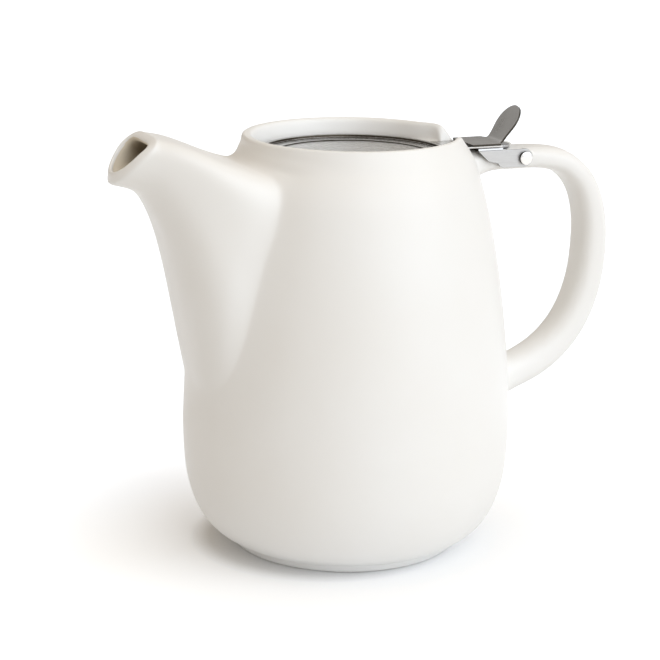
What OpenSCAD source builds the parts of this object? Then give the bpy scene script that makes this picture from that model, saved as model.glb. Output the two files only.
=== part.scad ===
// Porcelain teapot with a hinged steel lid and a tea basket, in millimetres.
// +X points from the pot to the handle, +Z up, and the origin is the centre of the foot ring.

/* [Body] */
// Widest outside diameter of the belly
belly_d = 120; // [112:1:130]
// Height of the widest part above the table
belly_z = 44; // [38:1:52]
// Height of the rim above the table
pot_h = 151.4; // [146:0.2:158]
// Depth of the rounded rim below its crest
rim_drop = 11; // [10:0.2:13]
// How far the shoulder stands out past the rim's crest
shoulder_out = 7.1; // [6.4:0.1:8]
// Wall of the casting
wall = 4; // [3:0.25:4.5]
// Outside diameter of the foot ring
foot_d = 84; // [76:1:90]
// Height of the foot ring
foot_h = 3.6; // [3:0.2:5]
// Width of the foot ring's standing face
foot_w = 4.5; // [3.5:0.5:6]
// Depth of the hollow inside the foot ring
foot_hollow = 2.6; // [1.5:0.2:3]

/* [Mouth] */
// How far the mouth lies off the body's axis, towards the handle
mouth_shift = 1.4; // [0:0.2:1.8]
// Porcelain between the lid's edge and the rim's crest
rim_lip = 4.2; // [3.6:0.2:4.8]
// Outward lean of the mouth's wall, as a slope
mouth_draft = 0.1; // [0.08:0.01:0.14]
// Thickness of the ledge that carries the basket
ledge_t = 3.2; // [2.6:0.2:4]
// Round from the mouth's wall over to the rim's crest
lip_round = 2; // [1:0.2:2.6]
// Side clearance of the tab in the rim's notch
notch_gap = 0.6; // [0.4:0.2:1.6]
// Round of the notch's upper corners
notch_round = 2.4; // [1.5:0.1:4]

/* [Spout] */
// Distance from the pot's axis to the pouring point
spout_reach = 88.2; // [85:0.2:92]
// Height of the pouring point
pour_z = 137.8; // [135:0.2:141]
// Length of the spout's mouth, from pouring point to top
mouth_len = 22; // [20:0.2:24]
// Backward tilt of the spout's mouth
mouth_tilt = 41; // [36:1:44]
// Widest half-width of the spout's mouth
mouth_half = 14.4; // [12:0.1:15.5]
// Half-width of the spout where it leaves the body
root_half = 29.5; // [26:0.5:32]
// Height where the spout starts to leave the belly
root_z = 57; // [53:1:62]
// Wall of the spout
spout_wall = 3.2; // [2.6:0.2:3.6]
// Round of the lip at the spout's mouth
mouth_lip = 3.4; // [2.4:0.2:3.8]

/* [Handle] */
// Distance from the pot's axis to the middle of the handle's back
handle_reach = 98.5; // [94:0.1:104]
// Height of the middle of the handle's back
handle_mid_z = 107; // [102:1:112]
// Height of the middle of the handle's lower root
handle_low_z = 55.5; // [50:0.5:60]
// Thickness of the handle's upper arm
arm_t = 9.2; // [8.6:0.2:10.4]
// Thickness of the handle's back
back_t = 11.4; // [10:0.2:14]
// Thickness of the lower root
root_t = 13; // [12:0.5:15]
// Width of the handle
handle_w = 16; // [15.4:0.2:18]
// Width of the upper arm between the hinge's side plates
hinge_block_w = 14.6; // [13:0.2:15]

/* [Lid] */
// Width of the flat between the outer step and the lid's edge
lid_flat = 3.8; // [3.2:0.1:4.4]
// Sheet of the lid and its tab
lid_t = 0.6; // [0.5:0.1:0.8]
// Depth of the lid's face below the rim's crest
lid_drop = 5.8; // [5:0.2:7]
// Clearance between the lid's edge and the mouth's wall
lid_gap = 0.9; // [0.8:0.1:1.1]
// Diameter of the outer step
step_outer_d = 61.6; // [57:0.2:62]
// Diameter of the inner step
step_inner_d = 45; // [40:0.5:50]
// Depth of each step
step_h = 1.2; // [0.8:0.1:1.6]
// Width of the tab
tab_w = 16; // [14:0.5:16.4]
// Air between the closed lid and the basket's flange
seat_gap = 0.15; // [0.1:0.05:0.3]

/* [Hinge] */
// Distance from the pot's axis to the hinge pin
pivot_x = 66; // [64:0.5:70]
// Depth of the pin's centre below the upper arm's top
pivot_inset = 3.2; // [3:0.1:4]
// Diameter of the hinge pin
pin_d = 3.2; // [2.8:0.1:3.6]
// Diameter of the pin's two heads
head_d = 5.5; // [5:0.1:6]
// Thickness of the pin's two heads
head_t = 1.4; // [1:0.1:1.8]
// Running clearance of the arms on the pin, on the radius
run_gap = 0.05; // [0.02:0.01:0.08]
// Sheet of the bracket
bracket_t = 0.9; // [0.7:0.1:1.1]
// Width of the bracket's round-ended arms
arm_w = 6.5; // [6:0.1:7]
// Distance from the pot's axis to the bracket's front
bracket_x = 47; // [46:0.25:48]
// Length of the bracket's top plate
bracket_len = 10; // [9:0.5:11]
// Length of the tongue behind the top plate
tongue_len = 6; // [4:0.5:6.5]
// Width of the tongue
tongue_w = 11; // [9:0.5:12]
// Air between the bracket and the upper arm
bracket_gap = 0.3; // [0.25:0.05:0.5]
// Thickness of the hinge's washers
washer_t = 0.5; // [0.4:0.1:0.8]
// Diameter of the hinge's washers
washer_d = 7; // [6:0.2:7.6]
// Side play of each arm
side_play = 0.1; // [0.06:0.02:0.16]
// Wall of the sleeve in the handle's hole
sleeve_t = 0.7; // [0.5:0.1:0.9]
// Diameter of the closing screw's shank
screw_d = 2; // [1.6:0.1:2.2]

/* [Thumb lever] */
// Distance from the pot's axis to the start of the lever's bend
lever_x = 56.4; // [54:0.2:57]
// Sheet of the thumb lever
lever_t = 0.8; // [0.6:0.1:1]
// Length of the raised plate
lever_len = 14; // [11:0.5:15]
// Widest part of the raised plate
lever_w = 14; // [11:0.5:16]
// Width of the raised plate at its bend
lever_waist = 11.6; // [9:0.2:12]
// Rise of the raised plate above level
lever_tilt = 55; // [50:1:65]
// Inside radius of the bend
lever_bend = 2; // [1.5:0.25:3]

/* [Basket] */
// Length of the basket below its flange
basket_len = 84; // [70:1:92]
// How much narrower the basket's wall is at its foot, on the radius
basket_taper = 3; // [2:0.25:4]
// Sheet of the basket's wall
basket_t = 0.5; // [0.4:0.1:0.7]
// Sheet of the basket's flange
flange_t = 0.8; // [0.6:0.1:1]
// Air round the lid's pan and round the basket's wall
basket_gap = 0.6; // [0.5:0.1:0.8]
// Diameter of the wall's and base's holes
hole_d = 2.4; // [1.6:0.1:3]
// Rows of holes in the wall
hole_rows = 6; // [3:1:8]
// Holes in each row
row_holes = 16; // [10:1:20]

/* [Hidden] */
$fn = 96;

PORCELAIN = [0.95, 0.94, 0.92];
STEEL = [0.62, 0.61, 0.59];
NYLON = [0.88, 0.87, 0.83];

// A cut that reaches past the surface it opens
past = 1;

// Radii of the body
belly_r = belly_d / 2;
foot_r = foot_d / 2;
step_outer_r = step_outer_d / 2;
step_inner_r = step_inner_d / 2;
lid_d = step_outer_d + 2 * lid_flat;
lid_r = lid_d / 2;
rim_r = lid_r + rim_lip;
shoulder_r = rim_r + shoulder_out;
shoulder_z = pot_h - rim_drop;
shoulder_lean = 0.34;

// Levels of the lid, the basket and the hinge, all counted down from the rim
lid_top = pot_h - lid_drop;
lid_low = lid_top - lid_t;
flange_top = lid_low - seat_gap;
ledge_z = flange_top - flange_t;
bracket_low = lid_low - bracket_t;
arm_top = bracket_low - bracket_gap;
arm_z = arm_top - arm_t / 2;
pivot_z = arm_top - pivot_inset;

// Radii of the lid's pan, the basket and the ledge, from the inside out
step_run = 0.5;
pan_r = step_outer_r + 2 * step_run;
basket_r = pan_r + basket_gap + basket_t;
ledge_r = basket_r + basket_gap;
mouth_r = lid_r + lid_gap;
flange_r = mouth_r - basket_gap;
basket_z = ledge_z - basket_len;
basket_low_r = basket_r - basket_taper;

// Planes of the hinge, counted out from the middle of the handle
block_y = hinge_block_w / 2;
plate_in_y = block_y + washer_t + side_play;
plate_out_y = plate_in_y + bracket_t;
head_in_y = plate_out_y + side_play;
fit_gap = 0.02;
sleeve_r = pin_d / 2 + fit_gap + sleeve_t;
arm_r = arm_w / 2;
bracket_end = bracket_x + bracket_len;

// Point on a cubic curve with control points p
function bez(p, t) = pow(1 - t, 3) * p[0] + 3 * pow(1 - t, 2) * t * p[1]
    + 3 * (1 - t) * t * t * p[2] + pow(t, 3) * p[3];

// Direction of a cubic curve with control points p
function bez_dir(p, t) = let (d = 3 * pow(1 - t, 2) * (p[1] - p[0]) + 6 * (1 - t) * t * (p[2] - p[1])
    + 3 * t * t * (p[3] - p[2])) d / norm(d);

// Point d to the left of a plane cubic curve, seen along its direction
function bez_left(p, t, d) = let (u = bez_dir(p, t)) bez(p, t) + d * [-u[1], u[0]];

// The outer surface in three curves: under the belly, up the side and round the rim
belly_curve = [[foot_r + 1.6, foot_h], [foot_r + 12.5, foot_h + 4.4],
    [belly_r, 0.4 * belly_z + 0.6 * foot_h], [belly_r, belly_z]];
side_h = shoulder_z - belly_z;
side_curve = [[belly_r, belly_z], [belly_r, belly_z + 0.25 * side_h],
    [shoulder_r + shoulder_lean * 0.29 * side_h, shoulder_z - 0.29 * side_h], [shoulder_r, shoulder_z]];
rim_curve = [[shoulder_r, shoulder_z],
    [shoulder_r - shoulder_lean * 0.28 * rim_drop, shoulder_z + 0.28 * rim_drop],
    [rim_r + 0.24 * shoulder_out, pot_h], [rim_r, pot_h]];

belly_steps = 12;
side_steps = 14;
rim_steps = 7;

// Solid inside the body's outer surface
module body_form()
{
    rotate_extrude()
        polygon(concat(
            [[0, foot_hollow], [foot_r - foot_w, foot_hollow], [foot_r - foot_w, 0], [foot_r, 0],
                [foot_r + 0.8, foot_h]],
            [for (i = [0 : belly_steps]) bez(belly_curve, i / belly_steps)],
            [for (i = [1 : side_steps]) bez(side_curve, i / side_steps)],
            [for (i = [1 : rim_steps]) bez(rim_curve, i / rim_steps)],
            [[0, pot_h]]));
}

// Space inside the casting, up to the ledge's underside
module body_hollow()
{
    floor_z = foot_hollow + wall;
    first = bez_left(belly_curve, 1 / 4, wall);
    rotate_extrude()
        polygon(concat(
            [[0, floor_z], [first[0] - wall, floor_z]],
            [for (i = [belly_steps / 4 : belly_steps]) bez_left(belly_curve, i / belly_steps, wall)],
            [for (i = [1 : side_steps]) bez_left(side_curve, i / side_steps, wall)],
            [[ledge_r + mouth_shift, ledge_z - ledge_t], [0, ledge_z - ledge_t]]));
}

// Opening above the ledge, which leans outwards and rounds into the crest
module mouth_cut()
{
    top_r = mouth_r + mouth_draft * (pot_h - lip_round - ledge_z);
    translate([mouth_shift, 0, 0]) {
        rotate_extrude()
            polygon(concat(
                [[0, ledge_z], [mouth_r, ledge_z]],
                [for (a = [0 : 18 : 90])
                    [top_r + 0.8 * lip_round * (1 - cos(a)), pot_h - lip_round * (1 - sin(a))]],
                [[top_r + 0.8 * lip_round, pot_h + past], [0, pot_h + past]]));
        translate([0, 0, ledge_z - ledge_t - past]) cylinder(r = ledge_r, h = ledge_t + 2 * past);
    }
}

// Gap in the rim for the lid's tab, with rounded upper corners
module rim_notch()
{
    half = tab_w / 2 + notch_gap;
    side = [for (a = [0 : 15 : 90])
        [half + notch_round * (1 - cos(a)), pot_h - notch_round + notch_round * sin(a)]];
    outline = concat([[half, ledge_z]], side, [[half + notch_round, pot_h + past]]);
    translate([mouth_shift + ledge_r + basket_gap, 0, 0]) rotate([90, 0, 90])
        linear_extrude(shoulder_r)
            polygon(concat(outline,
                [for (i = [len(outline) - 1 : -1 : 0]) [-outline[i][0], outline[i][1]]]));
}

// Rails of the spout: along its top, along its underside, and its half-width
mouth_up = [sin(mouth_tilt), cos(mouth_tilt)];
mouth_out = [-cos(mouth_tilt), sin(mouth_tilt)];
pour = [-spout_reach, pour_z];
brow = pour + mouth_len * mouth_up;
neck_x = -shoulder_r;
top_rail = [[neck_x + 12, shoulder_z + 1.2], [neck_x - 4, shoulder_z + 2.9],
    [neck_x - 13.7, shoulder_z + 11.5], brow];
low_rail = [[2.4 - belly_r, root_z], [-belly_r - 5.4, root_z + 34], [-belly_r - 10.1, pour_z + 1.5], pour];
width_rail = [root_half, 0.985 * root_half, 1.52 * mouth_half, mouth_half];

// The same rails inside the spout, where they start within the hollow body
mouth_wall = 1.2 * spout_wall;
top_rail_in = [[neck_x + 12, ledge_z - ledge_t - 6], [neck_x - 2, ledge_z - ledge_t - 3.5],
    [neck_x - 13.2, shoulder_z + 11.2 - spout_wall], brow - mouth_wall * mouth_up];
low_rail_in = [[3 - belly_r + wall, root_z + 6], [-belly_r - 5.4 + 1.2 * spout_wall, root_z + 35],
    [-belly_r - 10.1 + spout_wall, pour_z + 1.5 + spout_wall], pour + mouth_wall * mouth_up];
width_rail_in = [root_half - 1.4 * wall, 0.985 * root_half - 1.4 * wall,
    1.52 * mouth_half - 1.3 * spout_wall, mouth_half - mouth_wall];

// Half-width of a section at angle a: a shield at the root, more of a rounded triangle at the mouth
shield_lean = 0.09;
shield_top = 5.7;
shield_low = 2.56;
mouth_share = 0.46;
function shield(v) = let (n = v > 0 ? shield_top : shield_low)
    (1 + shield_lean * v) * pow(1 - pow(abs(v), n), 1 / n);
function wedge(v) = sin(58 * (1 + v)) * pow(1 - pow(max(0, v), 6), 0.35);
function spout_half(a, s) = let (v = sin(a), share = mouth_share * s * s)
    sign(cos(a)) * ((1 - share) * shield(v) + share * wedge(v));

// One section between two rails, shrunk by inset and pushed out by push
function spout_ring(top, low, half, s, sides, inset = 0, push = 0) =
    let (t = bez(top, s), u = bez(low, s), mid = (t + u) / 2 + push * mouth_out, up = (t - u) / 2,
        rise = up * (1 - inset / norm(up)), w = bez(half, s) - inset)
    [for (k = [0 : sides - 1]) let (a = 360 * k / sides)
        [mid[0] + rise[0] * sin(a), w * spout_half(a, s), mid[1] + rise[1] * sin(a)]];

// Closed solid through a list of rings that have the same number of points
module loft(rings)
{
    sides = len(rings[0]);
    last = len(rings) - 1;
    points = [for (ring = rings) each ring];
    walls = [for (i = [0 : last - 1], k = [0 : sides - 1])
        let (a = i * sides + k, b = i * sides + (k + 1) % sides)
        each [[a, b, b + sides], [a, b + sides, a + sides]]];
    ends = [[for (k = [sides - 1 : -1 : 0]) k], [for (k = [0 : sides - 1]) last * sides + k]];
    polyhedron(points, concat(walls, ends), convexity = 6);
}

// Solid inside the spout's outer surface, which rolls over into the lip
module spout_form()
{
    steps = 16;
    sides = 44;
    loft(concat(
        [spout_ring(top_rail, low_rail, width_rail, 0, sides, 0, -1.5 * wall)],
        [for (i = [0 : steps]) spout_ring(top_rail, low_rail, width_rail, i / steps, sides)],
        [for (a = [18 : 18 : 90]) spout_ring(top_rail, low_rail, width_rail, 1, sides,
            mouth_lip * (1 - cos(a)), mouth_lip * sin(a))]));
}

// Passage through the spout, from inside the body to past the lip
module spout_hollow()
{
    steps = 12;
    sides = 36;
    loft(concat(
        [for (i = [0 : steps]) spout_ring(top_rail_in, low_rail_in, width_rail_in, i / steps, sides)],
        [spout_ring(top_rail_in, low_rail_in, width_rail_in, 1, sides, 0, mouth_lip + past)]));
}

module pot_body()
{
    color(PORCELAIN) difference() {
        union() {
            body_form();
            spout_form();
        }
        body_hollow();
        spout_hollow();
        mouth_cut();
        rim_notch();
    }
}

// The handle's centre line: straight upper arm, shoulder and long back
arm_end = pivot_x + 6;
bend_curve = [[arm_end, arm_z], [handle_reach - 8.2, arm_z], [handle_reach, handle_mid_z + 20],
    [handle_reach, handle_mid_z]];
back_curve = [[handle_reach, handle_mid_z], [handle_reach, handle_mid_z - 32],
    [belly_r + 22, handle_low_z + 3.5], [belly_r - 3, handle_low_z]];

// How far the upper arm's underside spreads where it meets the body
arm_flare = 7;
flare_from = shoulder_r + 10;
function flare_at(x) = arm_flare * pow(max(0, flare_from - x) / 12, 2);

// One superellipse section across the handle: centre, direction, thickness and width
function handle_ring(c, u, t, w, sides) = [for (k = [0 : sides - 1])
    let (a = 360 * k / sides, round = 2 / 2.5,
        n = t / 2 * sign(cos(a)) * pow(abs(cos(a)), round),
        y = w / 2 * sign(sin(a)) * pow(abs(sin(a)), round))
    [c[0] - n * u[1], y, c[1] + n * u[0]]];

module handle_form()
{
    sides = 24;
    arm_steps = 8;
    bend_steps = 10;
    back_steps = 12;
    arm_start = shoulder_r - 6;
    root_flare = 4;
    loft(concat(
        [for (i = [0 : arm_steps - 1])
            let (x = arm_start + (arm_end - arm_start) * i / arm_steps, f = flare_at(x))
            handle_ring([x, arm_z - f / 2], [1, 0], arm_t + f, handle_w, sides)],
        [for (i = [0 : bend_steps - 1]) let (s = i / bend_steps)
            handle_ring(bez(bend_curve, s), bez_dir(bend_curve, s), arm_t + (back_t - arm_t) * s,
                handle_w, sides)],
        [for (i = [0 : back_steps]) let (s = i / back_steps, f = root_flare * pow(max(0, s - 0.7) / 0.3, 3))
            handle_ring(bez(back_curve, s), bez_dir(back_curve, s), back_t + (root_t - back_t) * s + f,
                handle_w + f, sides)]));
}

// Flats on both sides of the upper arm, round-ended about the pin
module hinge_flats()
{
    round_r = arm_r + 0.6;
    depth = handle_w;
    for (side = [0, 1]) mirror([0, side, 0]) translate([0, block_y, 0]) {
        translate([shoulder_r - 10, 0, pivot_z - round_r])
            cube([pivot_x - shoulder_r + 10, depth, 2 * round_r + arm_t]);
        translate([pivot_x, 0, pivot_z]) rotate([-90, 0, 0]) cylinder(r = round_r, h = depth);
        translate([pivot_x, 0, pivot_z]) rotate([0, -20, 0]) cube([round_r, depth, arm_t]);
    }
}

module handle()
{
    color(PORCELAIN) difference() {
        handle_form();
        body_form();
        hinge_flats();
        translate([pivot_x, -handle_w, pivot_z]) rotate([-90, 0, 0])
            cylinder(r = sleeve_r + fit_gap, h = 2 * handle_w);
    }
}

module lid()
{
    low_1 = lid_top - step_h;
    low_2 = low_1 - step_h;
    color(STEEL) union() {
        translate([mouth_shift, 0, 0]) rotate_extrude()
            polygon([[0, low_2], [step_inner_r, low_2], [step_inner_r + step_run, low_1],
                [step_outer_r, low_1],
                [step_outer_r + step_run, lid_top], [lid_r, lid_top], [lid_r, lid_low], [pan_r, lid_low],
                [step_outer_r + step_run, low_1 - lid_t], [step_inner_r + 2 * step_run, low_1 - lid_t],
                [step_inner_r + step_run, low_2 - lid_t], [0, low_2 - lid_t]]);
        tab_from = mouth_shift + pan_r;
        translate([tab_from, -tab_w / 2, lid_low]) cube([bracket_end - tab_from, tab_w, lid_t]);
    }
}

// Plate outline that widens from the waist to a rounded end, along +X
module lever_outline()
{
    half = lever_w / 2;
    round_x = lever_len - half;
    hull_steps = 6;
    side = concat(
        [for (i = [0 : hull_steps - 1]) let (s = i / hull_steps)
            [round_x * s, lever_waist / 2 + (half - lever_waist / 2) * (3 * s * s - 2 * s * s * s)]],
        [for (a = [90 : -10 : 0]) [round_x + half * cos(a), half * sin(a)]]);
    polygon(concat(side, [for (i = [len(side) - 2 : -1 : 0]) [side[i][0], -side[i][1]]]));
}

// Side view of the bent strip: level strap, bend and the start of the raised plate
module lever_side(run)
{
    axis = [lever_x, lid_top + lever_t + lever_bend];
    along = run * [cos(lever_tilt), sin(lever_tilt)];
    bend_steps = 10;
    low = [for (i = [0 : bend_steps]) let (a = lever_tilt * i / bend_steps)
        axis + (lever_bend + lever_t) * [sin(a), -cos(a)]];
    high = [for (i = [bend_steps : -1 : 0]) let (a = lever_tilt * i / bend_steps)
        axis + lever_bend * [sin(a), -cos(a)]];
    polygon(concat([[bracket_x, lid_top]], low, [low[bend_steps] + along, high[0] + along], high,
        [[bracket_x, lid_top + lever_t]]));
}

module thumb_lever()
{
    strap_w = 2 * plate_out_y;
    color(STEEL) union() {
        translate([bracket_x, -strap_w / 2, lid_top]) cube([lever_x - bracket_x, strap_w, lever_t]);
        translate([0, lever_waist / 2, 0]) rotate([90, 0, 0])
            linear_extrude(lever_waist) lever_side(lever_len / 3);
        translate([lever_x, 0, lid_top + lever_t + lever_bend]) rotate([0, -lever_tilt, 0])
            translate([0, 0, -lever_bend - lever_t]) linear_extrude(lever_t) lever_outline();
    }
}

// Side view of the bracket: tall front plate, step and round-ended arm
module bracket_side()
{
    front_low = pivot_z - arm_r + 2.7;
    slope = 4;
    polygon([[bracket_x, lid_low], [bracket_end, lid_low], [bracket_end + 1, pivot_z + arm_r],
        [pivot_x, pivot_z + arm_r], [pivot_x, pivot_z - arm_r], [bracket_end, pivot_z - arm_r],
        [bracket_end - 2, front_low - 1], [bracket_x + slope, front_low]]);
    translate([pivot_x, pivot_z]) circle(r = arm_r);
}

// Cross-section of the folded channel, open below
module bracket_channel()
{
    fold = 1.6;
    deep = arm_top - pivot_z + arm_r + bracket_t + bracket_gap;
    difference() {
        union() {
            translate([-plate_out_y, lid_low - deep]) square([2 * plate_out_y, deep - fold]);
            translate([fold - plate_out_y, lid_low - fold]) square([2 * (plate_out_y - fold), fold]);
            for (side = [-1, 1]) translate([side * (plate_out_y - fold), lid_low - fold]) circle(r = fold);
        }
        translate([-plate_in_y, lid_low - deep - past]) square([2 * plate_in_y, deep + past - bracket_t]);
    }
}

module hinge_bracket()
{
    color(STEEL) difference() {
        union() {
            intersection() {
                rotate([90, 0, 90]) linear_extrude(2 * pivot_x) bracket_channel();
                translate([0, plate_out_y + past, 0]) rotate([90, 0, 0])
                    linear_extrude(2 * (plate_out_y + past)) bracket_side();
            }
            translate([bracket_end - past, 0, bracket_low]) linear_extrude(bracket_t) {
                translate([0, -tongue_w / 2]) square([tongue_len + past - tongue_w / 4, tongue_w]);
                translate([tongue_len + past - tongue_w / 4, 0])
                    intersection() {
                        circle(r = tongue_w / 2);
                        translate([-tongue_w / 2, -tongue_w / 2]) square([0.75 * tongue_w, tongue_w]);
                    }
            }
        }
        translate([pivot_x, -plate_out_y - past, pivot_z]) rotate([-90, 0, 0])
            cylinder(r = pin_d / 2 + run_gap, h = 2 * (plate_out_y + past));
    }
}

// Moves a shape drawn along +Z from the handle's middle onto the hinge's axis
module on_pivot(far)
{
    translate([pivot_x, 0, pivot_z]) rotate([far ? -90 : 90, 0, 0]) children();
}

// Flat head with a bevelled edge, outside an arm of the bracket
module pin_head()
{
    bevel = 0.5;
    translate([0, 0, head_in_y]) rotate_extrude()
        polygon([[0, 0], [head_d / 2, 0], [head_d / 2, 0.7 * head_t], [head_d / 2 - bevel, head_t],
            [0, head_t]]);
}

module pivot_barrel()
{
    bore_len = 12;
    color(STEEL) difference() {
        on_pivot(false) union() {
            translate([0, 0, -head_in_y]) cylinder(d = pin_d, h = 2 * head_in_y);
            pin_head();
        }
        on_pivot(true) translate([0, 0, head_in_y - bore_len])
            cylinder(r = screw_d / 2 + fit_gap, h = bore_len + past);
    }
}

module pivot_screw()
{
    shank_len = 10;
    slot_w = 0.8;
    slot_deep = 0.6;
    color(STEEL) difference() {
        on_pivot(true) union() {
            translate([0, 0, head_in_y - shank_len]) cylinder(d = screw_d, h = shank_len);
            pin_head();
        }
        on_pivot(true) translate([-head_d, -slot_w / 2, head_in_y + head_t - slot_deep])
            cube([2 * head_d, slot_w, slot_deep + past]);
    }
}

module pivot_sleeve()
{
    color(NYLON) on_pivot(true) translate([0, 0, -block_y]) difference() {
        cylinder(r = sleeve_r, h = hinge_block_w);
        translate([0, 0, -past]) cylinder(r = pin_d / 2 + fit_gap, h = hinge_block_w + 2 * past);
    }
}

module washer(far)
{
    color(NYLON) on_pivot(far) translate([0, 0, block_y]) difference() {
        cylinder(d = washer_d, h = washer_t);
        translate([0, 0, -past]) cylinder(r = pin_d / 2 + run_gap, h = washer_t + 2 * past);
    }
}

module near_washer()
{
    washer(false);
}

module far_washer()
{
    washer(true);
}

module infuser_flange()
{
    color(STEEL) translate([mouth_shift, 0, ledge_z]) difference() {
        cylinder(r = flange_r, h = flange_t);
        translate([0, 0, -past]) cylinder(r = basket_r - basket_t, h = flange_t + 2 * past);
    }
}

module infuser_sleeve()
{
    row_h = basket_len / (hole_rows + 2);
    color(STEEL) translate([mouth_shift, 0, basket_z]) difference() {
        rotate_extrude()
            polygon([[basket_low_r - basket_t, 0], [basket_low_r, 0], [basket_r, basket_len],
                [basket_r - basket_t, basket_len]]);
        for (row = [1 : hole_rows], k = [0 : row_holes - 1])
            translate([0, 0, row * row_h]) rotate([0, 90, 360 / row_holes * (k + row % 2 / 2)])
                translate([0, 0, basket_low_r - basket_t - past])
                    cylinder(d = hole_d, h = basket_taper + basket_t + 2 * past);
    }
}

module infuser_base()
{
    ring_pitch = 2.2 * hole_d;
    rings = floor((basket_low_r - 2 * hole_d) / ring_pitch);
    color(STEEL) translate([mouth_shift, 0, basket_z - basket_t]) linear_extrude(basket_t) difference() {
        circle(r = basket_low_r);
        circle(d = hole_d);
        for (ring = [1 : rings], k = [0 : 6 * ring - 1])
            rotate(60 / ring * k) translate([ring * ring_pitch, 0]) circle(d = hole_d);
    }
}

pot_body();
handle();
lid();
thumb_lever();
hinge_bracket();
pivot_barrel();
pivot_screw();
pivot_sleeve();
near_washer();
far_washer();
infuser_flange();
infuser_sleeve();
infuser_base();
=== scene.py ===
"""Porcelain teapot with a hinged steel lid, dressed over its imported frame.

Pieces are modelled in millimetres at their own place and brought to metres when they are done.
"""

import logging
import math
from collections.abc import Callable
from dataclasses import dataclass
from enum import Enum

import bmesh
import bpy
import numpy as np
from mathutils import Matrix, Vector


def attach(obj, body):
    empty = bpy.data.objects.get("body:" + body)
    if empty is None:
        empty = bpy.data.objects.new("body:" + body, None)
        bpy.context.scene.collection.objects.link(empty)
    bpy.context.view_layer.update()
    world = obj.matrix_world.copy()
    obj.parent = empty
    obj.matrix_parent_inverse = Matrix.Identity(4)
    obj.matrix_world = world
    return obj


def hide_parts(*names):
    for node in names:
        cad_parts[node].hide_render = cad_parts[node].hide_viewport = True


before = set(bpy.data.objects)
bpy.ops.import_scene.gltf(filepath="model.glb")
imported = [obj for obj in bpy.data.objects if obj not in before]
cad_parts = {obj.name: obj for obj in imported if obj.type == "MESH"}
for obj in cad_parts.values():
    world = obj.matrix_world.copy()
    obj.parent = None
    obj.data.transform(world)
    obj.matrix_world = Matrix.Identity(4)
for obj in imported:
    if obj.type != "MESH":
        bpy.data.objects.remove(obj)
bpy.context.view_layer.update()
MM = 0.001
FULL_TURN = 2 * math.pi
ROUND_STEPS = 48
SHEET_GAP = 0.005
PIVOT_X = 66.0
PIVOT_Z = 140.6
log = logging.getLogger("teapot")

Pairs = list[tuple[float, float]]
Span = tuple[float, float]
Triple = tuple[float, float, float]
Colour = tuple[float, float, float, float]
Glow = tuple[float, float, float, float]
Cell = tuple[int, int]
Piece = bpy.types.Object
Finish = bpy.types.Material
Socket = bpy.types.NodeSocket


class Rides(Enum):
    """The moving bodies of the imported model."""

    POT = "pot"
    LID = "lid"


class Slot(Enum):
    """The record's material slots of the modelled pieces, which here only decide whether normals are
    weighted.
    """

    PORCELAIN = "porcelain"
    LID_STEEL = "lid_steel"
    HINGE_STEEL = "hinge_steel"
    PIN_STEEL = "pin_steel"


class Side(Enum):
    """Which side of the handle a hinge piece sits on."""

    NEAR = -1
    FAR = 1


# Curves


def cubic(points: Pairs | list[float], t: float | np.ndarray) -> np.ndarray:
    """Points on a cubic curve.

    Args:
        points: the four control points, as pairs or as single numbers.
        t: one or more places along the curve, from 0 to 1.

    Returns:
        One row for each place.
    """
    p = np.asarray(points, float).reshape(4, -1)
    s = np.atleast_1d(np.asarray(t, float))[:, None]
    return (1 - s) ** 3 * p[0] + 3 * (1 - s) ** 2 * s * p[1] + 3 * (1 - s) * s * s * p[2] + s ** 3 * p[3]


def cubic_way(points: Pairs, t: float | np.ndarray) -> np.ndarray:
    """Unit directions along a cubic curve.

    Args:
        points: the four control points.
        t: one or more places along the curve, from 0 to 1.

    Returns:
        One unit vector for each place.
    """
    p = np.asarray(points, float)
    s = np.atleast_1d(np.asarray(t, float))[:, None]
    way = (1 - s) ** 2 * (p[1] - p[0]) + 2 * (1 - s) * s * (p[2] - p[1]) + s * s * (p[3] - p[2])
    return way / np.linalg.norm(way, axis=1, keepdims=True)


def soft_power(value: np.ndarray, power: float) -> np.ndarray:
    """A power of the size of each value that keeps its sign."""
    return np.sign(value) * np.abs(value) ** power


def smooth_step(t: float | np.ndarray) -> float | np.ndarray:
    """A soft rise from 0 to 1 with level ends."""
    return t * t * (3 - 2 * t)


# The bench: small steps that each piece is made with


def clear_bench() -> None:
    """Leaves edit mode and selects nothing."""
    if bpy.context.object and bpy.context.object.mode != "OBJECT":
        bpy.ops.object.mode_set(mode="OBJECT")
    bpy.ops.object.select_all(action="DESELECT")


def select_all() -> None:
    """Selects the whole mesh in edit mode."""
    bpy.ops.mesh.select_all(action="SELECT")


def start_picking(mode: str) -> None:
    """Turns to one select mode in edit mode, with nothing selected."""
    bpy.ops.mesh.select_mode(type=mode)
    bpy.ops.mesh.select_all(action="DESELECT")


def spot(vertex: bmesh.types.BMVert) -> Triple:
    """A vertex's place, rounded so that it can be looked up."""
    return tuple(round(x, 4) for x in vertex.co)


def start_vertex(name: str, at: Triple) -> Piece:
    """Starts a piece as one vertex, in edit mode.

    Args:
        name: the piece's name.
        at: the vertex's place.

    Returns:
        The new object.
    """
    clear_bench()
    bpy.ops.mesh.primitive_plane_add(size=1, location=(0, 0, 0))
    obj = bpy.context.object
    obj.name = name
    obj.data.name = name
    bpy.ops.object.mode_set(mode="EDIT")
    bpy.ops.mesh.select_mode(type="VERT")
    select_all()
    bpy.ops.mesh.merge(type="CENTER")
    bpy.ops.transform.translate(value=at)
    return obj


def extrude(by: Triple | np.ndarray) -> None:
    """Extrudes what is selected in edit mode by one step."""
    bpy.ops.mesh.extrude_region_move(TRANSFORM_OT_translate={"value": tuple(by)})


def extrude_along(points: np.ndarray) -> None:
    """Extrudes what is selected from each point to the next."""
    for here, there in zip(points[:-1], points[1:]):
        extrude(there - here)


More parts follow.
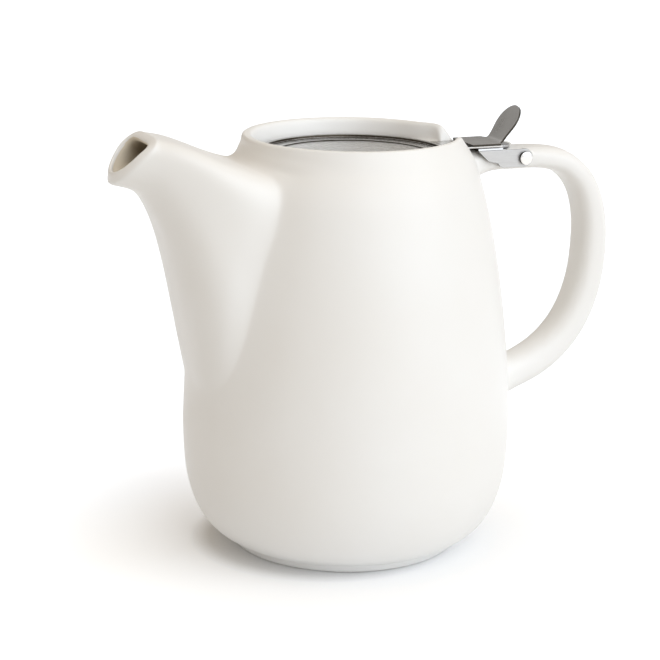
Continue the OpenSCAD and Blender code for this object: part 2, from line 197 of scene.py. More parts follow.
def weld(gap: float) -> None:
    """Merges vertices in edit mode and turns all faces outwards.

    Args:
        gap: vertices closer than this are merged.
    """
    select_all()
    bpy.ops.mesh.remove_doubles(threshold=gap)
    bpy.ops.mesh.normals_make_consistent(inside=False)


def spin_line(name: str, points: np.ndarray, steps: int, centre: Triple, axis: Triple, gap: float) -> Piece:
    """Spins an open line of points about an axis.

    Args:
        name: the piece's name.
        points: the line's points, in order.
        steps: columns of the full turn.
        centre: a point of the axis.
        axis: the axis's direction.
        gap: vertices closer than this are merged.

    Returns:
        The new object, in edit mode with merged poles and seam.
    """
    obj = start_vertex(name, tuple(points[0]))
    extrude_along(points)
    select_all()
    bpy.ops.mesh.spin(steps=steps, angle=FULL_TURN, center=centre, axis=axis)
    weld(gap)
    return obj


def cut_plate(name: str, outline: np.ndarray, by: Triple) -> Piece:
    """Models a flat plate from its closed outline.

    Args:
        name: the piece's name.
        outline: points round one face.
        by: the step from that face to the other.

    Returns:
        The plate.
    """
    obj = start_vertex(name, tuple(outline[0]))
    extrude_along(np.vstack([outline, outline[:1]]))
    weld(SHEET_GAP)
    bpy.ops.mesh.edge_face_add()
    select_all()
    extrude(by)
    select_all()
    bpy.ops.mesh.normals_make_consistent(inside=False)
    clear_bench()
    return obj


def apply_modifier(obj: Piece, kind: str, **settings: object) -> None:
    """Adds one modifier to a piece and applies it.

    Args:
        obj: the piece.
        kind: the modifier's type.
        settings: its values.
    """
    clear_bench()
    obj.select_set(True)
    bpy.context.view_layer.objects.active = obj
    modifier = obj.modifiers.new(kind.lower(), kind)
    for key, value in settings.items():
        setattr(modifier, key, value)
    bpy.ops.object.modifier_apply(modifier=modifier.name)


def round_edges(obj: Piece, width: float, segments: int, angle: float) -> None:
    """Bevels a piece's sharp edges.

    Args:
        obj: the piece.
        width: how far the bevel reaches.
        segments: steps across the bevel.
        angle: edges sharper than this many degrees are taken.
    """
    apply_modifier(obj, "BEVEL", width=width, segments=segments, limit_method="ANGLE",
                   angle_limit=math.radians(angle), harden_normals=False)


def cut_away(obj: Piece, cutter: Piece) -> None:
    """Cuts a cutter's shape out of a piece and removes the cutter."""
    apply_modifier(obj, "BOOLEAN", object=cutter, operation="DIFFERENCE", solver="EXACT")
    bpy.data.objects.remove(cutter, do_unlink=True)


def drill_across(obj: Piece, radius: float, length: float = 40) -> None:
    """Drills a round hole along the hinge's axis.

    Args:
        obj: the piece that is drilled.
        radius: the hole's radius.
        length: the drill's length.
    """
    clear_bench()
    bpy.ops.mesh.primitive_cylinder_add(vertices=ROUND_STEPS, radius=radius, depth=length,
                                        location=(PIVOT_X, 0, PIVOT_Z), rotation=(math.pi / 2, 0, 0))
    cut_away(obj, bpy.context.object)


@dataclass(frozen=True)
class Patch:
    """A second finish, and a test of a face's middle and normal that says where it goes."""

    finish: Finish
    wanted: Callable[[Vector, Vector], bool]


def finish_piece(obj: Piece, rides: Rides, slot: Slot, finish: Finish, stands_for: tuple[str, ...],
                 crease: float = 35, patch: Patch | None = None) -> None:
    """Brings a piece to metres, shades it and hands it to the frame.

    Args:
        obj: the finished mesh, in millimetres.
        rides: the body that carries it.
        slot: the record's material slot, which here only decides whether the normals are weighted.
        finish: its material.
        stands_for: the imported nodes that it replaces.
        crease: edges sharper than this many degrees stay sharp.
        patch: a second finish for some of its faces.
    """
    clear_bench()
    obj.select_set(True)
    bpy.context.view_layer.objects.active = obj
    bpy.ops.transform.resize(value=(MM, MM, MM), center_override=(0, 0, 0))
    bpy.ops.object.transform_apply(location=True, rotation=True, scale=True)
    bpy.ops.object.shade_smooth_by_angle(angle=math.radians(crease))
    if slot == Slot.HINGE_STEEL:
        apply_modifier(obj, "WEIGHTED_NORMAL", keep_sharp=True)
    obj.data.materials.clear()
    obj.data.materials.append(finish)
    if patch:
        obj.data.materials.append(patch.finish)
        for face in obj.data.polygons:
            face.material_index = int(patch.wanted(face.center / MM, face.normal))
    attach(obj, rides.value)
    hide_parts(*stands_for)
    log.info("%s: %d faces on %s", obj.name, len(obj.data.polygons), rides.value)


# Finishes


class Wiring:
    """Places and joins the shader nodes of one material or world."""

    def __init__(self, name: str, world: bool = False) -> None:
        """Starts a material, or a world, with its surface shader and its output.

        Args:
            name: the material's or the world's name.
            world: True for a world.
        """
        self.owner = (bpy.data.worlds if world else bpy.data.materials).new(name)
        self.owner.use_nodes = True
        self.nodes = self.owner.node_tree.nodes
        self.links = self.owner.node_tree.links
        self.shader = self.nodes["Background" if world else "Principled BSDF"]
        self.output = self.nodes["World Output" if world else "Material Output"].inputs["Surface"]

    def add(self, kind: str, settings: dict | None = None, **inputs: object) -> bpy.types.Node:
        """Adds one node.

        Args:
            kind: the node's type.
            settings: the node's own properties.
            inputs: values or sockets for its inputs, with spaces written as underscores.

        Returns:
            The node.
        """
        node = self.nodes.new(kind)
        for key, value in (settings or {}).items():
            setattr(node, key, value)
        for key, value in inputs.items():
            socket = node.inputs[int(key[1:])] if key[1:].isdigit() else node.inputs[key.replace("_", " ")]
            self.feed(socket, value)
        return node

    def feed(self, socket: Socket, value: Socket | float | tuple) -> None:
        """Joins a socket to an input, or sets its value.

        Args:
            socket: the input.
            value: a socket to join, or the value.
        """
        if isinstance(value, Socket):
            self.links.new(value, socket)
        else:
            socket.default_value = value

    def surface(self, **inputs: object) -> None:
        """Sets the surface shader's inputs."""
        for key, value in inputs.items():
            self.feed(self.shader.inputs[key.replace("_", " ")], value)

    def place(self, centre: Triple = (0, 0, 0), turn: Triple = (0, 0, 0),
              scale: Triple = (1, 1, 1)) -> Socket:
        """Object coordinates about a centre in metres, turned and scaled.

        Args:
            centre: the pattern's centre.
            turn: the pattern's turn in degrees.
            scale: its scale along each axis.

        Returns:
            The vector socket.
        """
        source = self.add("ShaderNodeTexCoord").outputs["Object"]
        moved = self.add("ShaderNodeVectorMath", {"operation": "SUBTRACT"}, _0=source, _1=centre)
        mapped = self.add("ShaderNodeMapping", Vector=moved.outputs[0], Scale=scale,
                          Rotation=tuple(math.radians(a) for a in turn))
        return mapped.outputs[0]

    def axis(self, vector: Socket, name: str) -> Socket:
        """One coordinate of a vector."""
        return self.add("ShaderNodeSeparateXYZ", Vector=vector).outputs[name]

    def length(self, vector: Socket) -> Socket:
        """A vector's length."""
        return self.add("ShaderNodeVectorMath", {"operation": "LENGTH"}, _0=vector).outputs["Value"]

    def combine(self, operation: str, first: Socket, second: Socket) -> Socket:
        """One value from two, by a named operation."""
        return self.add("ShaderNodeMath", {"operation": operation}, _0=first, _1=second).outputs[0]

    def noise(self, vector: Socket, scale: float, detail: float) -> Socket:
        """Even noise about one half."""
        return self.add("ShaderNodeTexNoise", Vector=vector, Scale=scale, Detail=detail).outputs["Fac"]

    def cloud(self, vector: Socket, scale: float, detail: float = 3) -> Socket:
        """Noise that uses the whole range from 0 to 1."""
        return self.spread(self.noise(vector, scale, detail), 0, 1)

    def spread(self, value: Socket, low: float, high: float, from_low: float = 0.3,
               from_high: float = 0.7) -> Socket:
        """Maps a value from one range to another.

        Args:
            value: the value's socket.
            low: result at the low end.
            high: result at the high end.
            from_low: the value's low end.
            from_high: the value's high end.

        Returns:
            The result's socket.
        """
        node = self.add("ShaderNodeMapRange", Value=value, From_Min=from_low, From_Max=from_high,
                        To_Min=low, To_Max=high)
        return node.outputs["Result"]

    def drifting(self, value: Socket, middle: float, drift: Span) -> Socket:
        """A value that drifts below and above its middle with a noise."""
        return self.spread(value, middle + drift[0], middle + drift[1])

    def tint(self, factor: Socket, first: Socket | Colour, second: Socket | Colour) -> Socket:
        """A colour between two, by a factor."""
        node = self.add("ShaderNodeMix", {"data_type": "RGBA"}, Factor=factor, A=first, B=second)
        return node.outputs["Result"]

    def bump(self, height: Socket, depth: float, strength: float) -> Socket:
        """A bump whose full height is depth in millimetres."""
        node = self.add("ShaderNodeBump", Height=height, Distance=depth * MM, Strength=strength)
        return node.outputs["Normal"]

    def show_apart(self, lights: Socket, shown: Socket) -> None:
        """Lets one shader light the scene, and another show to the camera, also in mirrors and glass.

        Args:
            lights: the shader that other surfaces get their light from.
            shown: the shader that is seen.
        """
        path = self.add("ShaderNodeLightPath").outputs
        direct = self.combine("MAXIMUM", path["Is Camera Ray"], path["Is Glossy Ray"])
        seen = self.combine("MAXIMUM", direct, path["Is Transmission Ray"])
        mix = self.add("ShaderNodeMixShader", _0=seen, _1=lights, _2=shown)
        self.links.new(mix.outputs[0], self.output)


@dataclass(frozen=True)
class Ripple:
    """The faint unevenness of a glazed surface."""

    scale: float = 130
    detail: float = 2
    depth: float = 0.05
    strength: float = 0.35

    def normal(self, w: Wiring) -> Socket:
        """The rippled normal in a material's wiring."""
        return w.bump(w.noise(w.place(), self.scale, self.detail), self.depth, self.strength)


@dataclass(frozen=True)
class SatinGlaze:
    """White satin glaze over porcelain, bare on the standing face of the foot ring."""

    colour: Colour = (0.835, 0.827, 0.81, 1)
    warm: Colour = (0.82, 0.807, 0.782, 1)
    bare: Colour = (0.70, 0.66, 0.60, 1)
    roughness: float = 0.44
    drift: Span = (-0.05, 0.05)
    bare_roughness: float = 0.85
    bare_top: float = 0.7
    warm_scale: float = 22
    wear_scale: float = 60
    grit_scale: float = 2600
    coat: float = 0.08
    coat_roughness: float = 0.3

    def make(self) -> Finish:
        """Builds the material.

        Returns:
            The material.
        """
        w = Wiring("satin_glaze")
        at = w.place()
        glaze = w.tint(w.cloud(at, self.warm_scale), self.colour, self.warm)
        clay = w.tint(w.cloud(at, self.grit_scale, 2), self.bare, self.colour)
        bare = w.spread(w.axis(at, "Z"), 1, 0, 0.5 * self.bare_top * MM, self.bare_top * MM)
        wear = w.drifting(w.noise(at, self.wear_scale, 4), self.roughness, self.drift)
        rough = w.add("ShaderNodeMix", {"data_type": "FLOAT"}, Factor=bare, A=wear, B=self.bare_roughness)
        w.surface(Base_Color=w.tint(bare, glaze, clay), Roughness=rough.outputs["Result"],
                  Normal=Ripple().normal(w), Specular_IOR_Level=0.5, IOR=1.5,
                  Coat_Weight=self.coat, Coat_Roughness=self.coat_roughness)
        return w.owner


@dataclass(frozen=True)
class PassageGlaze:
    """The glaze inside the spout, with painted shade: beige at the lip and brown deeper in."""

    colour: Colour = (0.74, 0.67, 0.55, 1)
    deep: Colour = (0.27, 0.185, 0.075, 1)
    roughness: float = 0.5
    drift: Span = (-0.05, 0.05)
    mouth: Triple = (-0.081, 0.0, 0.1461)
    way: Triple = (-0.755, 0.0, 0.656)
    reach: float = 13.0
    patchy: float = 0.8
    patch_scale: float = 150

    def make(self) -> Finish:
        """Builds the material.

        Returns:
            The material.
        """
        w = Wiring("passage_glaze")
        out = w.add("ShaderNodeVectorMath", {"operation": "DOT_PRODUCT"}, _0=w.place(self.mouth), _1=self.way)
        depth = w.spread(out.outputs["Value"], 1, 0, -self.reach * MM, 0)
        cloud = w.spread(w.noise(w.place(), self.patch_scale, 3), self.patchy, 1)
        rough = w.drifting(cloud, self.roughness, self.drift)
        # Painted shade: the colour darkens from beige at the lip to brown further into the passage, in
        # patches.
        painted_passage_shade = w.tint(w.combine("MULTIPLY", depth, cloud), self.colour, self.deep)
        w.surface(Base_Color=painted_passage_shade, Roughness=rough, Normal=Ripple().normal(w))
        return w.owner


@dataclass(frozen=True)
class SpunSteel:
    """Satin stainless steel with fine turning marks round an upright axis, with painted shade in dark bands
    at its folds.
    """

    name: str = "spun_steel"
    colour: Colour = (0.68, 0.67, 0.655, 1)
    dark: Colour = (0.55, 0.54, 0.525, 1)
    shade: Colour = (0.035, 0.028, 0.02, 1)
    roughness: float = 0.24
    drift: Span = (-0.05, 0.07)
    centre: Triple = (0.0014, 0.0, 0.145)
    folds: tuple[Span, ...] = ()
    fold_in: float = 0.1
    fold_out: float = 0.2
    mark_scale: float = 5200
    band_scale: float = 620
    smear_scale: float = 35
    depth: float = 0.012
    strength: float = 0.55

    def make(self) -> Finish:
        """Builds the material.

        Returns:
            The material.
        """
        w = Wiring(self.name)
        at = w.place(self.centre)
        flat = w.add("ShaderNodeCombineXYZ", X=w.axis(at, "X"), Y=w.axis(at, "Y"))
        radius = w.length(flat.outputs[0])
        rings = w.add("ShaderNodeCombineXYZ", X=radius, Z=w.axis(at, "Z")).outputs[0]
        rough = w.drifting(w.noise(rings, self.band_scale, 3), self.roughness, self.drift)
        tone = w.tint(w.cloud(at, self.smear_scale), self.colour, self.dark)
        # Painted shade: each band of radii at a fold is tinted towards the near-black shade colour.
        for near, far in self.folds:
            rise = w.spread(radius, 0, 1, (near - self.fold_out) * MM, (near + self.fold_in) * MM)
            fall = w.spread(radius, 1, 0, (far - self.fold_in) * MM, (far + self.fold_out) * MM)
            tone = w.tint(w.combine("MULTIPLY", rise, fall), tone, self.shade)
        marks = w.bump(w.noise(rings, self.mark_scale, 2), self.depth, self.strength)
        w.surface(Base_Color=tone, Roughness=rough, Metallic=1.0, Normal=marks)
        return w.owner


@dataclass(frozen=True)
class BrushedSteel:
    """Stainless sheet with fine lines along one direction."""

    name: str
    colour: Colour
    dark: Colour
    roughness: float = 0.3
    drift: Span = (-0.05, 0.08)
    turn: Triple = (0, 0, 0)
    stretch: Triple = (0.03, 1, 1)
    line_scale: float = 6500
    cloud_scale: float = 90
    depth: float = 0.01
    strength: float = 0.6

    def make(self) -> Finish:
        """Builds the material.

        Returns:
            The material.
        """
        w = Wiring(self.name)
        lines = w.noise(w.place(turn=self.turn, scale=self.stretch), self.line_scale, 3)
        tone = w.tint(w.spread(lines, 0, 1), self.dark, self.colour)
        rough = w.drifting(w.noise(w.place(), self.cloud_scale, 3), self.roughness, self.drift)
        w.surface(Base_Color=tone, Roughness=rough, Metallic=1.0,
                  Normal=w.bump(lines, self.depth, self.strength))
        return w.owner


@dataclass(frozen=True)
class GrainedFinish:
    """A finish whose tone drifts in clouds, with a fine grain in its gloss."""

    name: str
    colour: Colour
    dark: Colour
    metallic: float
    roughness: float
    drift: Span
    cloud_scale: float
    grain_scale: float
    detail: float
    depth: float
    strength: float

    def make(self) -> Finish:
        """Builds the material.

        Returns:
            The material.
        """
        w = Wiring(self.name)
        at = w.place()
        grain = w.noise(at, self.grain_scale, self.detail)
        w.surface(Base_Color=w.tint(w.cloud(at, self.cloud_scale), self.colour, self.dark),
                  Roughness=w.drifting(grain, self.roughness, self.drift), Metallic=self.metallic,
                  Normal=w.bump(grain, self.depth, self.strength))
        return w.owner


# Painted shade: near-black steel for faces inside the hinge, for cut edges and for the sides of the pin's
# heads.
SHADED_STEEL = BrushedSteel("shaded_steel", (0.07, 0.062, 0.052, 1), (0.04, 0.036, 0.03, 1))
LEVER_STEEL = BrushedSteel("lever_steel", (0.50, 0.485, 0.465, 1), (0.39, 0.38, 0.365, 1), turn=(0, 0, 90))
BRACKET_STEEL = BrushedSteel("bracket_steel", (0.50, 0.495, 0.49, 1), (0.42, 0.415, 0.41, 1), roughness=0.4)
POLISHED_STEEL = GrainedFinish("polished_steel", (0.84, 0.83, 0.82, 1), (0.78, 0.775, 0.765, 1), metallic=1,
                               roughness=0.13, drift=(-0.03, 0.06), cloud_scale=260, grain_scale=900,
                               detail=4, depth=0.006, strength=0.4)
NATURAL_NYLON = GrainedFinish("natural_nylon", (0.74, 0.73, 0.69, 1), (0.68, 0.665, 0.62, 1), metallic=0,
                              roughness=0.5, drift=(-0.06, 0.08), cloud_scale=400, grain_scale=3000,
                              detail=2, depth=0.01, strength=0.5)


# Porcelain


@dataclass(frozen=True)
class Rails:
    """Lines along the spout's top and underside, and its half-width, from its root to its mouth."""

    top: Pairs
    low: Pairs
    half: list[float]

    def at(self, s: float | np.ndarray) -> tuple[np.ndarray, np.ndarray, np.ndarray]:
        """Top, underside and half-width at one or more places from 0 to 1."""
        return cubic(self.top, s), cubic(self.low, s), cubic(self.half, s)[:, 0]


@dataclass
class Casting:
    """Body, spout and handle, joined in the clay and fired as one piece."""

    wall: float = 4.0
    crest_z: float = 151.4
    ledge_z: float = 144.05
    mouth_shift: float = 1.4
    shift_rise: Triple = (0.15, 0.35, 0.65)
    shift_fall: float = 0.4
    neck_shift: float = 1.5
    neck_z: tuple[float, ...] = (134, 138.5, 143.6, 147.4, 149.5, 150.5, 151.4)
    neck_share: tuple[float, ...] = (0, 0.35, 1.1, 1, 0.7, 0.45, 0.15)
    notch_z: float = 143.6
    notch_half: float = 8.3
    notch_near: float = 9.0
    notch_far: float = 3.8
    notch_least: float = 0.02
    flare: float = 3.2
    flare_start: float = 20
    flare_full: float = 11
    flare_end: float = 5
    spout_columns: int = 8
    spout_rings: int = 10
    ring_bias: float = 0.92
    shield_top: float = 5.7
    shield_low: float = 2.56
    shield_lean: float = 0.09
    wedge_turn: float = 58
    wedge_power: float = 6
    wedge_soft: float = 0.35
    wedge_share: float = 0.46
    blend_wall: Span = (3.2, 1.2)
    blend_spout: Span = (4.0, 1.4)
    blend_inside: Span = (2.5, 3.0)
    mouth_tilt: float = 41.0
    mouth_lip: float = 3.4
    lip_flat: float = 0.42
    lip_steps: tuple = ((0.13, 0.5), (0.5, 0.81), (0.84, 0.97), (1.03, 0.93), (1.11, 0.72))
    passage_from: float = 56.0
    passage_lip: float = 0.6
    arm_z: float = 139.7
    arm_t: float = 8.2
    arm_swell: float = 1.4
    arm_square: float = 3.0
    arm_hole: Triple = (137.2, 6.4, 9.8)
    arm_stations: tuple = ((53.5, 0.5), (57.5, 0), (62, 0), (66.5, 0), (70.5, 0))
    block_w: float = 14.4
    block_end: float = 68.0
    block_swell: float = 0.6
    bend_w: Triple = (15.0, 15.4, 2.0)
    bend_stations: tuple = (0.16, 0.33, 0.5, 0.67, 0.84)
    back_t: float = 11.4
    back_stations: tuple = (0.0, 0.11, 0.22, 0.33, 0.44, 0.55, 0.66, 0.77, 0.86)
    handle_w: float = 16.0
    grip_square: float = 2.5
    root_t: float = 13.0
    root_z: float = 55.6
    root_hole: Triple = (55.4, -11.2, 12.6)
    hole_round: float = 0.8
    bore_r: float = 2.34
    soft_x: Span = (30, 47)
    soft_y: Span = (7, 16)
    soft_z: float = 143
    curve_points: int = 200
    turn_points: int = 721
    line_points: int = 800
    slide_rounds: int = 1500
    slide_least: float = 0.5
    settle_rounds: int = 4
    settle_share: float = 0.9
    levels: int = 2

    def __post_init__(self) -> None:
        """Draws the outlines that the mesh is shaped to."""
        self.belly: Pairs = [(43.6, 3.6), (54.5, 8.0), (60.0, 19.76), (60.0, 44.0)]
        side: Pairs = [(60.0, 44.0), (60.0, 68.1), (55.405, 112.444), (45.9, 140.4)]
        rim: Pairs = [(45.9, 140.4), (44.853, 143.48), (40.504, 151.4), (38.8, 151.4)]
        self.skin = Rails(top=[(-33.9, 141.6), (-49.9, 143.3), (-59.6, 151.9), (-73.767, 154.404)],
                          low=[(-57.6, 57.0), (-65.4, 91.0), (-70.1, 139.3), (-88.2, 137.8)],
                          half=[29.5, 29.058, 21.888, 14.4])
        self.lining = Rails(top=[(-33.9, 134.85), (-47.9, 137.35), (-59.1, 148.4), (-76.286, 151.506)],
                            low=[(-53.0, 63.0), (-61.56, 92.0), (-66.9, 142.5), (-85.681, 140.698)],
                            half=[23.9, 23.458, 17.728, 10.56])
        self.bend: Pairs = [(72.0, 139.7), (90.3, 139.7), (98.5, 127.0), (98.5, 107.0)]
        self.back: Pairs = [(98.5, 107.0), (98.5, 75.0), (82.0, 59.0), (57.0, 55.5)]
        t = np.linspace(0, 1, self.curve_points)
        ways = np.vstack([cubic_way(c, t) for c in (self.belly, side, rim)])
        self.outer = np.vstack([cubic(c, t) for c in (self.belly, side, rim)])
        inner = self.outer + self.wall * np.stack([-ways[:, 1], ways[:, 0]], 1)
        self.inner = inner[:2 * self.curve_points]
        half = [0, 6.2, 11.4, 12.5, 13.7, 15.8, 19, 23.5, 30, 38, 47.5, 58, 68.5, 79.5]
        half += list(range(90, 181, 10))
        self.turns = np.radians(np.array(half + [-a for a in half[-2:0:-1]]))
        self.columns = len(self.turns)
        self.rows()

    def neck(self, z: np.ndarray) -> np.ndarray:
        """How far the neck's axis lies towards the handle at a height."""
        return self.neck_shift * np.interp(z, self.neck_z, self.neck_share)

    def outer_r(self, z: np.ndarray) -> np.ndarray:
        """Radius of the outer surface at a height."""
        return np.interp(z, self.outer[:, 1], self.outer[:, 0]) - self.neck(z)

    def inner_r(self, z: np.ndarray) -> np.ndarray:
        """Radius of the inner wall at a height, below the ledge."""
        return np.interp(z, self.inner[:, 1], self.inner[:, 0])

    def rows(self) -> None:
        """Lists the rows of the cage, from under the foot, up the outside and down the inside."""
        foot = [(0, 2.6), (16, 2.6), (30, 2.6), (35.6, 2.6), (37.1, 2.25), (37.55, 1.2), (38.2, 0.2)]
        foot += [(39.4, 0.0), (40.7, 0.2), (41.6, 0.85), (42.15, 1.9), (42.55, 2.7), (43.2, 3.45)]
        belly = [tuple(p) for p in cubic(self.belly, np.array([0.07, 0.16, 0.29, 0.45, 0.63, 0.81]))]
        heights = [44, 48.5, 53, 57.5, 62, 66.5, 73, 80.5, 88.5, 96.5, 104.5, 112.5, 120, 127.5, 132.5, 135.5]
        heights += [138.5, 141.2, self.notch_z, 146.4, 148.7, 150.3, 151.1]
        side = [(float(self.outer_r(z)), float(z)) for z in heights]
        lip = [(38.3, 151.4), (37.3, 151.2), (36.55, 150.5), (36.12, 149.4), (35.86, 147.6), (35.62, 145.6)]
        lip += [(35.5, 144.5)]
        ledge = [(35.2, 144.07), (34.4, 144.05), (33.75, 144.0), (33.5, 143.6), (33.5, 142.4), (33.52, 141.3)]
        ledge += [(33.9, 140.9), (36.0, 140.85), (39.0, 140.8), (41.2, 140.4), (42.3, 139.0)]
        passage = list(np.linspace(135, 61, 14))
        inside = [(float(self.inner_r(z)), float(z)) for z in passage + [52, 42, 32, 23, 16]]
        floor = [(48.4, 11.6), (46.2, 8.5), (42.5, 6.9), (37, 6.6), (25, 6.6), (12, 6.6), (0, 6.6)]
        self.profile: Pairs = foot + belly + side + lip + ledge + inside + floor
        self.belly_row = len(foot)
        self.side_row = self.belly_row + len(belly)
        self.lip_row = self.side_row + len(side)
        self.ledge_row = self.lip_row + len(lip)
        self.inside_row = self.ledge_row + len(ledge)
        self.floor_row = self.inside_row + len(inside)
        self.heights = heights
        self.arm_rows = (self.row_at(self.notch_z), self.row_at(127.5))
        self.root_rows = (self.row_at(44), self.row_at(66.5))
        self.spout_rows = (self.row_at(141.2), self.row_at(62))
        self.passage_rows = (self.inside_row, self.inside_row + len(passage) - 1)

    def row_at(self, height: float) -> int:
        """The row of the outer wall at a height of its list."""
        return self.side_row + self.heights.index(height)

    def ring_cells(self, rows: Cell, middle: int, half: int) -> list[Cell]:
        """Cells round a block of the cage, from the middle of its first row towards the far side.

        Args:
            rows: the first row and the row across from it.
            middle: the block's middle column.
            half: columns on each side, with a minus sign where the far side has lower numbers.

        Returns:
            Row and column of each vertex, once round.
        """
        first, last = rows
        way = 1 if half > 0 else -1
        down = 1 if last > first else -1
        cells = [(first, middle + way * k) for k in range(abs(half) + 1)]
        cells += [(r, middle + half) for r in range(first + down, last + down, down)]
        cells += [(last, middle + way * k) for k in range(abs(half) - 1, -abs(half) - 1, -1)]
        cells += [(r, middle - half) for r in range(last - down, first - down, -down)]
        cells += [(first, middle + way * k) for k in range(-abs(half) + 1, 0)]
        return [(r, c % self.columns) for r, c in cells]

    def spout_curve(self, angle: float, s: np.ndarray, rails: Rails) -> np.ndarray:
        """A line along the spout at one angle of its section.

        Args:
            angle: 90 degrees along the top, 0 on the far side, -90 along the underside, in radians.
            s: places along the spout, 0 at its root and 1 at its mouth.
            rails: those of its skin or of its lining.

        Returns:
            One point for each place.
        """
        top, low, half = rails.at(s)
        mid = (top + low) / 2 + (top - low) / 2 * math.sin(angle)
        return np.stack([mid[:, 0], half * self.section_half(angle, s), mid[:, 1]], 1)

    def section_half(self, angle: float | np.ndarray, s: float | np.ndarray) -> np.ndarray:
        """Half-width of the spout's section, a shield at its root and more of a triangle at its mouth.

        Args:
            angle: angle round the section, in radians.
            s: place along the spout, from 0 to 1.

        Returns:
            The half-width as a share of the spout's own.
        """
        v = np.sin(angle)
        power = np.where(v > 0, self.shield_top, self.shield_low)
        shield = (1 + self.shield_lean * v) * np.clip(1 - np.abs(v) ** power, 0, 1) ** (1 / power)
        corner = np.clip(1 - np.maximum(v, 0) ** self.wedge_power, 0, 1) ** self.wedge_soft
        wedge = np.sin(np.radians(self.wedge_turn) * (1 + v)) * corner
        share = self.wedge_share * np.square(s)
        return np.sign(np.round(np.cos(angle), 9)) * ((1 - share) * shield + share * wedge)

    def section_angles(self, count: int) -> np.ndarray:
        """Angles of the spout's lines, so that they lie evenly round its sections.

        Args:
            count: lines round the spout, an even number.

        Returns:
            The angles in radians, from the top towards the far side.
        """
        angle = np.radians(np.linspace(90, -90, self.turn_points))
        length = np.zeros(len(angle))
        for s in (0.1, 0.9):
            top, low, half = self.skin.at(s)
            across = half[0] * self.section_half(angle, s)
            along = np.linalg.norm(top[0] - low[0]) / 2 * np.sin(angle)
            steps = np.hypot(np.diff(across), np.diff(along))
            length[1:] += np.cumsum(steps) / np.sum(steps)
        half_turn = np.interp(np.linspace(0, length[-1], count // 2 + 1), length, angle)
        return np.concatenate([half_turn, math.pi - half_turn[-2:0:-1]])

    def mouth_ring(self, count: int, inset: float, push: float) -> np.ndarray:
        """A ring round the spout's mouth, shrunk and pushed out, less so along its top.

        Args:
            count: points of the ring, from the top towards the far side.
            inset: how much smaller it is than the mouth's outside.
            push: how far it stands out of the mouth's plane.

        Returns:
            The ring's points.
        """
        a = self.section_angles(count)
        top, low = np.array(self.skin.top[-1]), np.array(self.skin.low[-1])
        tilt = math.radians(self.mouth_tilt)
        up = (top - low) / 2
        pushes = push * (1 - self.lip_flat * np.clip(np.sin(a), 0, 1) ** 2)
        mid = (top + low) / 2 + np.outer(pushes, [-math.cos(tilt), math.sin(tilt)])
        side = mid + np.outer(np.sin(a), up * (1 - inset / np.linalg.norm(up)))
        y = (self.skin.half[-1] - inset) * self.section_half(a, 1.0)
        return np.stack([side[:, 0], y, side[:, 1]], 1)

    def spout_lines(self, count: int, inside: bool) -> tuple[np.ndarray, np.ndarray, np.ndarray]:
        """Where the spout's lines leave the body's wall, and how they go on to the mouth.

        Args:
            count: lines round the spout, from the top towards the far side.
            inside: True for the passage and the inner wall.

        Returns:
            Turn and height of the blend's edge on the wall, the points of the blend and of the spout.
        """
        angles = self.section_angles(count)
        s = np.linspace(0, 1, self.line_points)
        wall_r = self.inner_r if inside else self.outer_r
        leave, lines, starts = [], [], []
        for angle in angles:
            line = self.spout_curve(angle, s, self.lining if inside else self.skin)
            off = 0 if inside else self.neck(line[:, 2])
            within = np.hypot(line[:, 0] - off, line[:, 1]) < wall_r(line[:, 2])
            first = int(np.flatnonzero(within)[-1]) + 1 if within.any() else 0
            leave.append(line[first])
            lines.append(line)
            starts.append(first)
        leave = np.array(leave)
        off = 0 if inside else self.neck(leave[:, 2])
        flat = np.stack([np.arctan2(leave[:, 1], off - leave[:, 0]) * wall_r(leave[:, 2]), leave[:, 2]], 1)
        along = np.roll(flat, -1, 0) - np.roll(flat, 1, 0)
        out = np.stack([-along[:, 1], along[:, 0]], 1)
        out /= np.linalg.norm(out, axis=1, keepdims=True)
        out *= np.sign(np.sum(out * (flat - flat.mean(0)), 1, keepdims=True))
        over = np.clip(np.sin(angles), 0, 1) ** 2
        if inside:
            on_wall, on_spout = (np.full(count, width) for width in self.blend_inside)
        else:
            on_wall, on_spout = (wide - less * over for wide, less in (self.blend_wall, self.blend_spout))
        edge = flat + out * on_wall[:, None]
        edge_r = wall_r(edge[:, 1])
        turn = math.pi - edge[:, 0] / edge_r
        wall_point = np.stack([edge_r * np.cos(turn), edge_r * np.sin(turn), edge[:, 1]], 1)
        wall_point[:, 0] += 0 if inside else self.neck(edge[:, 1])
        shares = (np.arange(self.spout_rings + 1) / self.spout_rings) ** self.ring_bias
        skins = np.zeros((self.spout_rings + 2, count, 3))
        for k, (line, first) in enumerate(zip(lines, starts)):
            length = np.concatenate([[0], np.cumsum(np.linalg.norm(np.diff(line, axis=0), axis=1))])
            begin = length[first] + on_spout[k]
            spans = begin + (length[-1] - begin) * shares
            path = np.stack([np.interp(spans, length, line[:, i]) for i in range(3)], 1)
            skins[0, k] = 0.25 * wall_point[k] + 0.5 * leave[k] + 0.25 * path[0]
            skins[1:, k] = path
        return turn, edge[:, 1], skins

    @staticmethod
    def handle_section(centre: Span, way: Span, thick: float, wide: float,
                       count: int, square: float) -> np.ndarray:
        """One section across the handle.

        Args:
            centre: its middle, as X and Z.
            way: the handle's direction there.
            thick: its thickness in the handle's plane.
            wide: its width across.
            count: points round it, from the outer side towards the far side.
            square: 2 for an ellipse, more for a squarer section.

        Returns:
            The section's points.
        """
        a = np.radians(90 - 360 / count * np.arange(count))
        n = thick / 2 * soft_power(np.sin(a), 2 / square)
        y = wide / 2 * soft_power(np.cos(a), 2 / square)
        return np.stack([centre[0] - n * way[1], y, centre[1] + n * way[0]], 1)

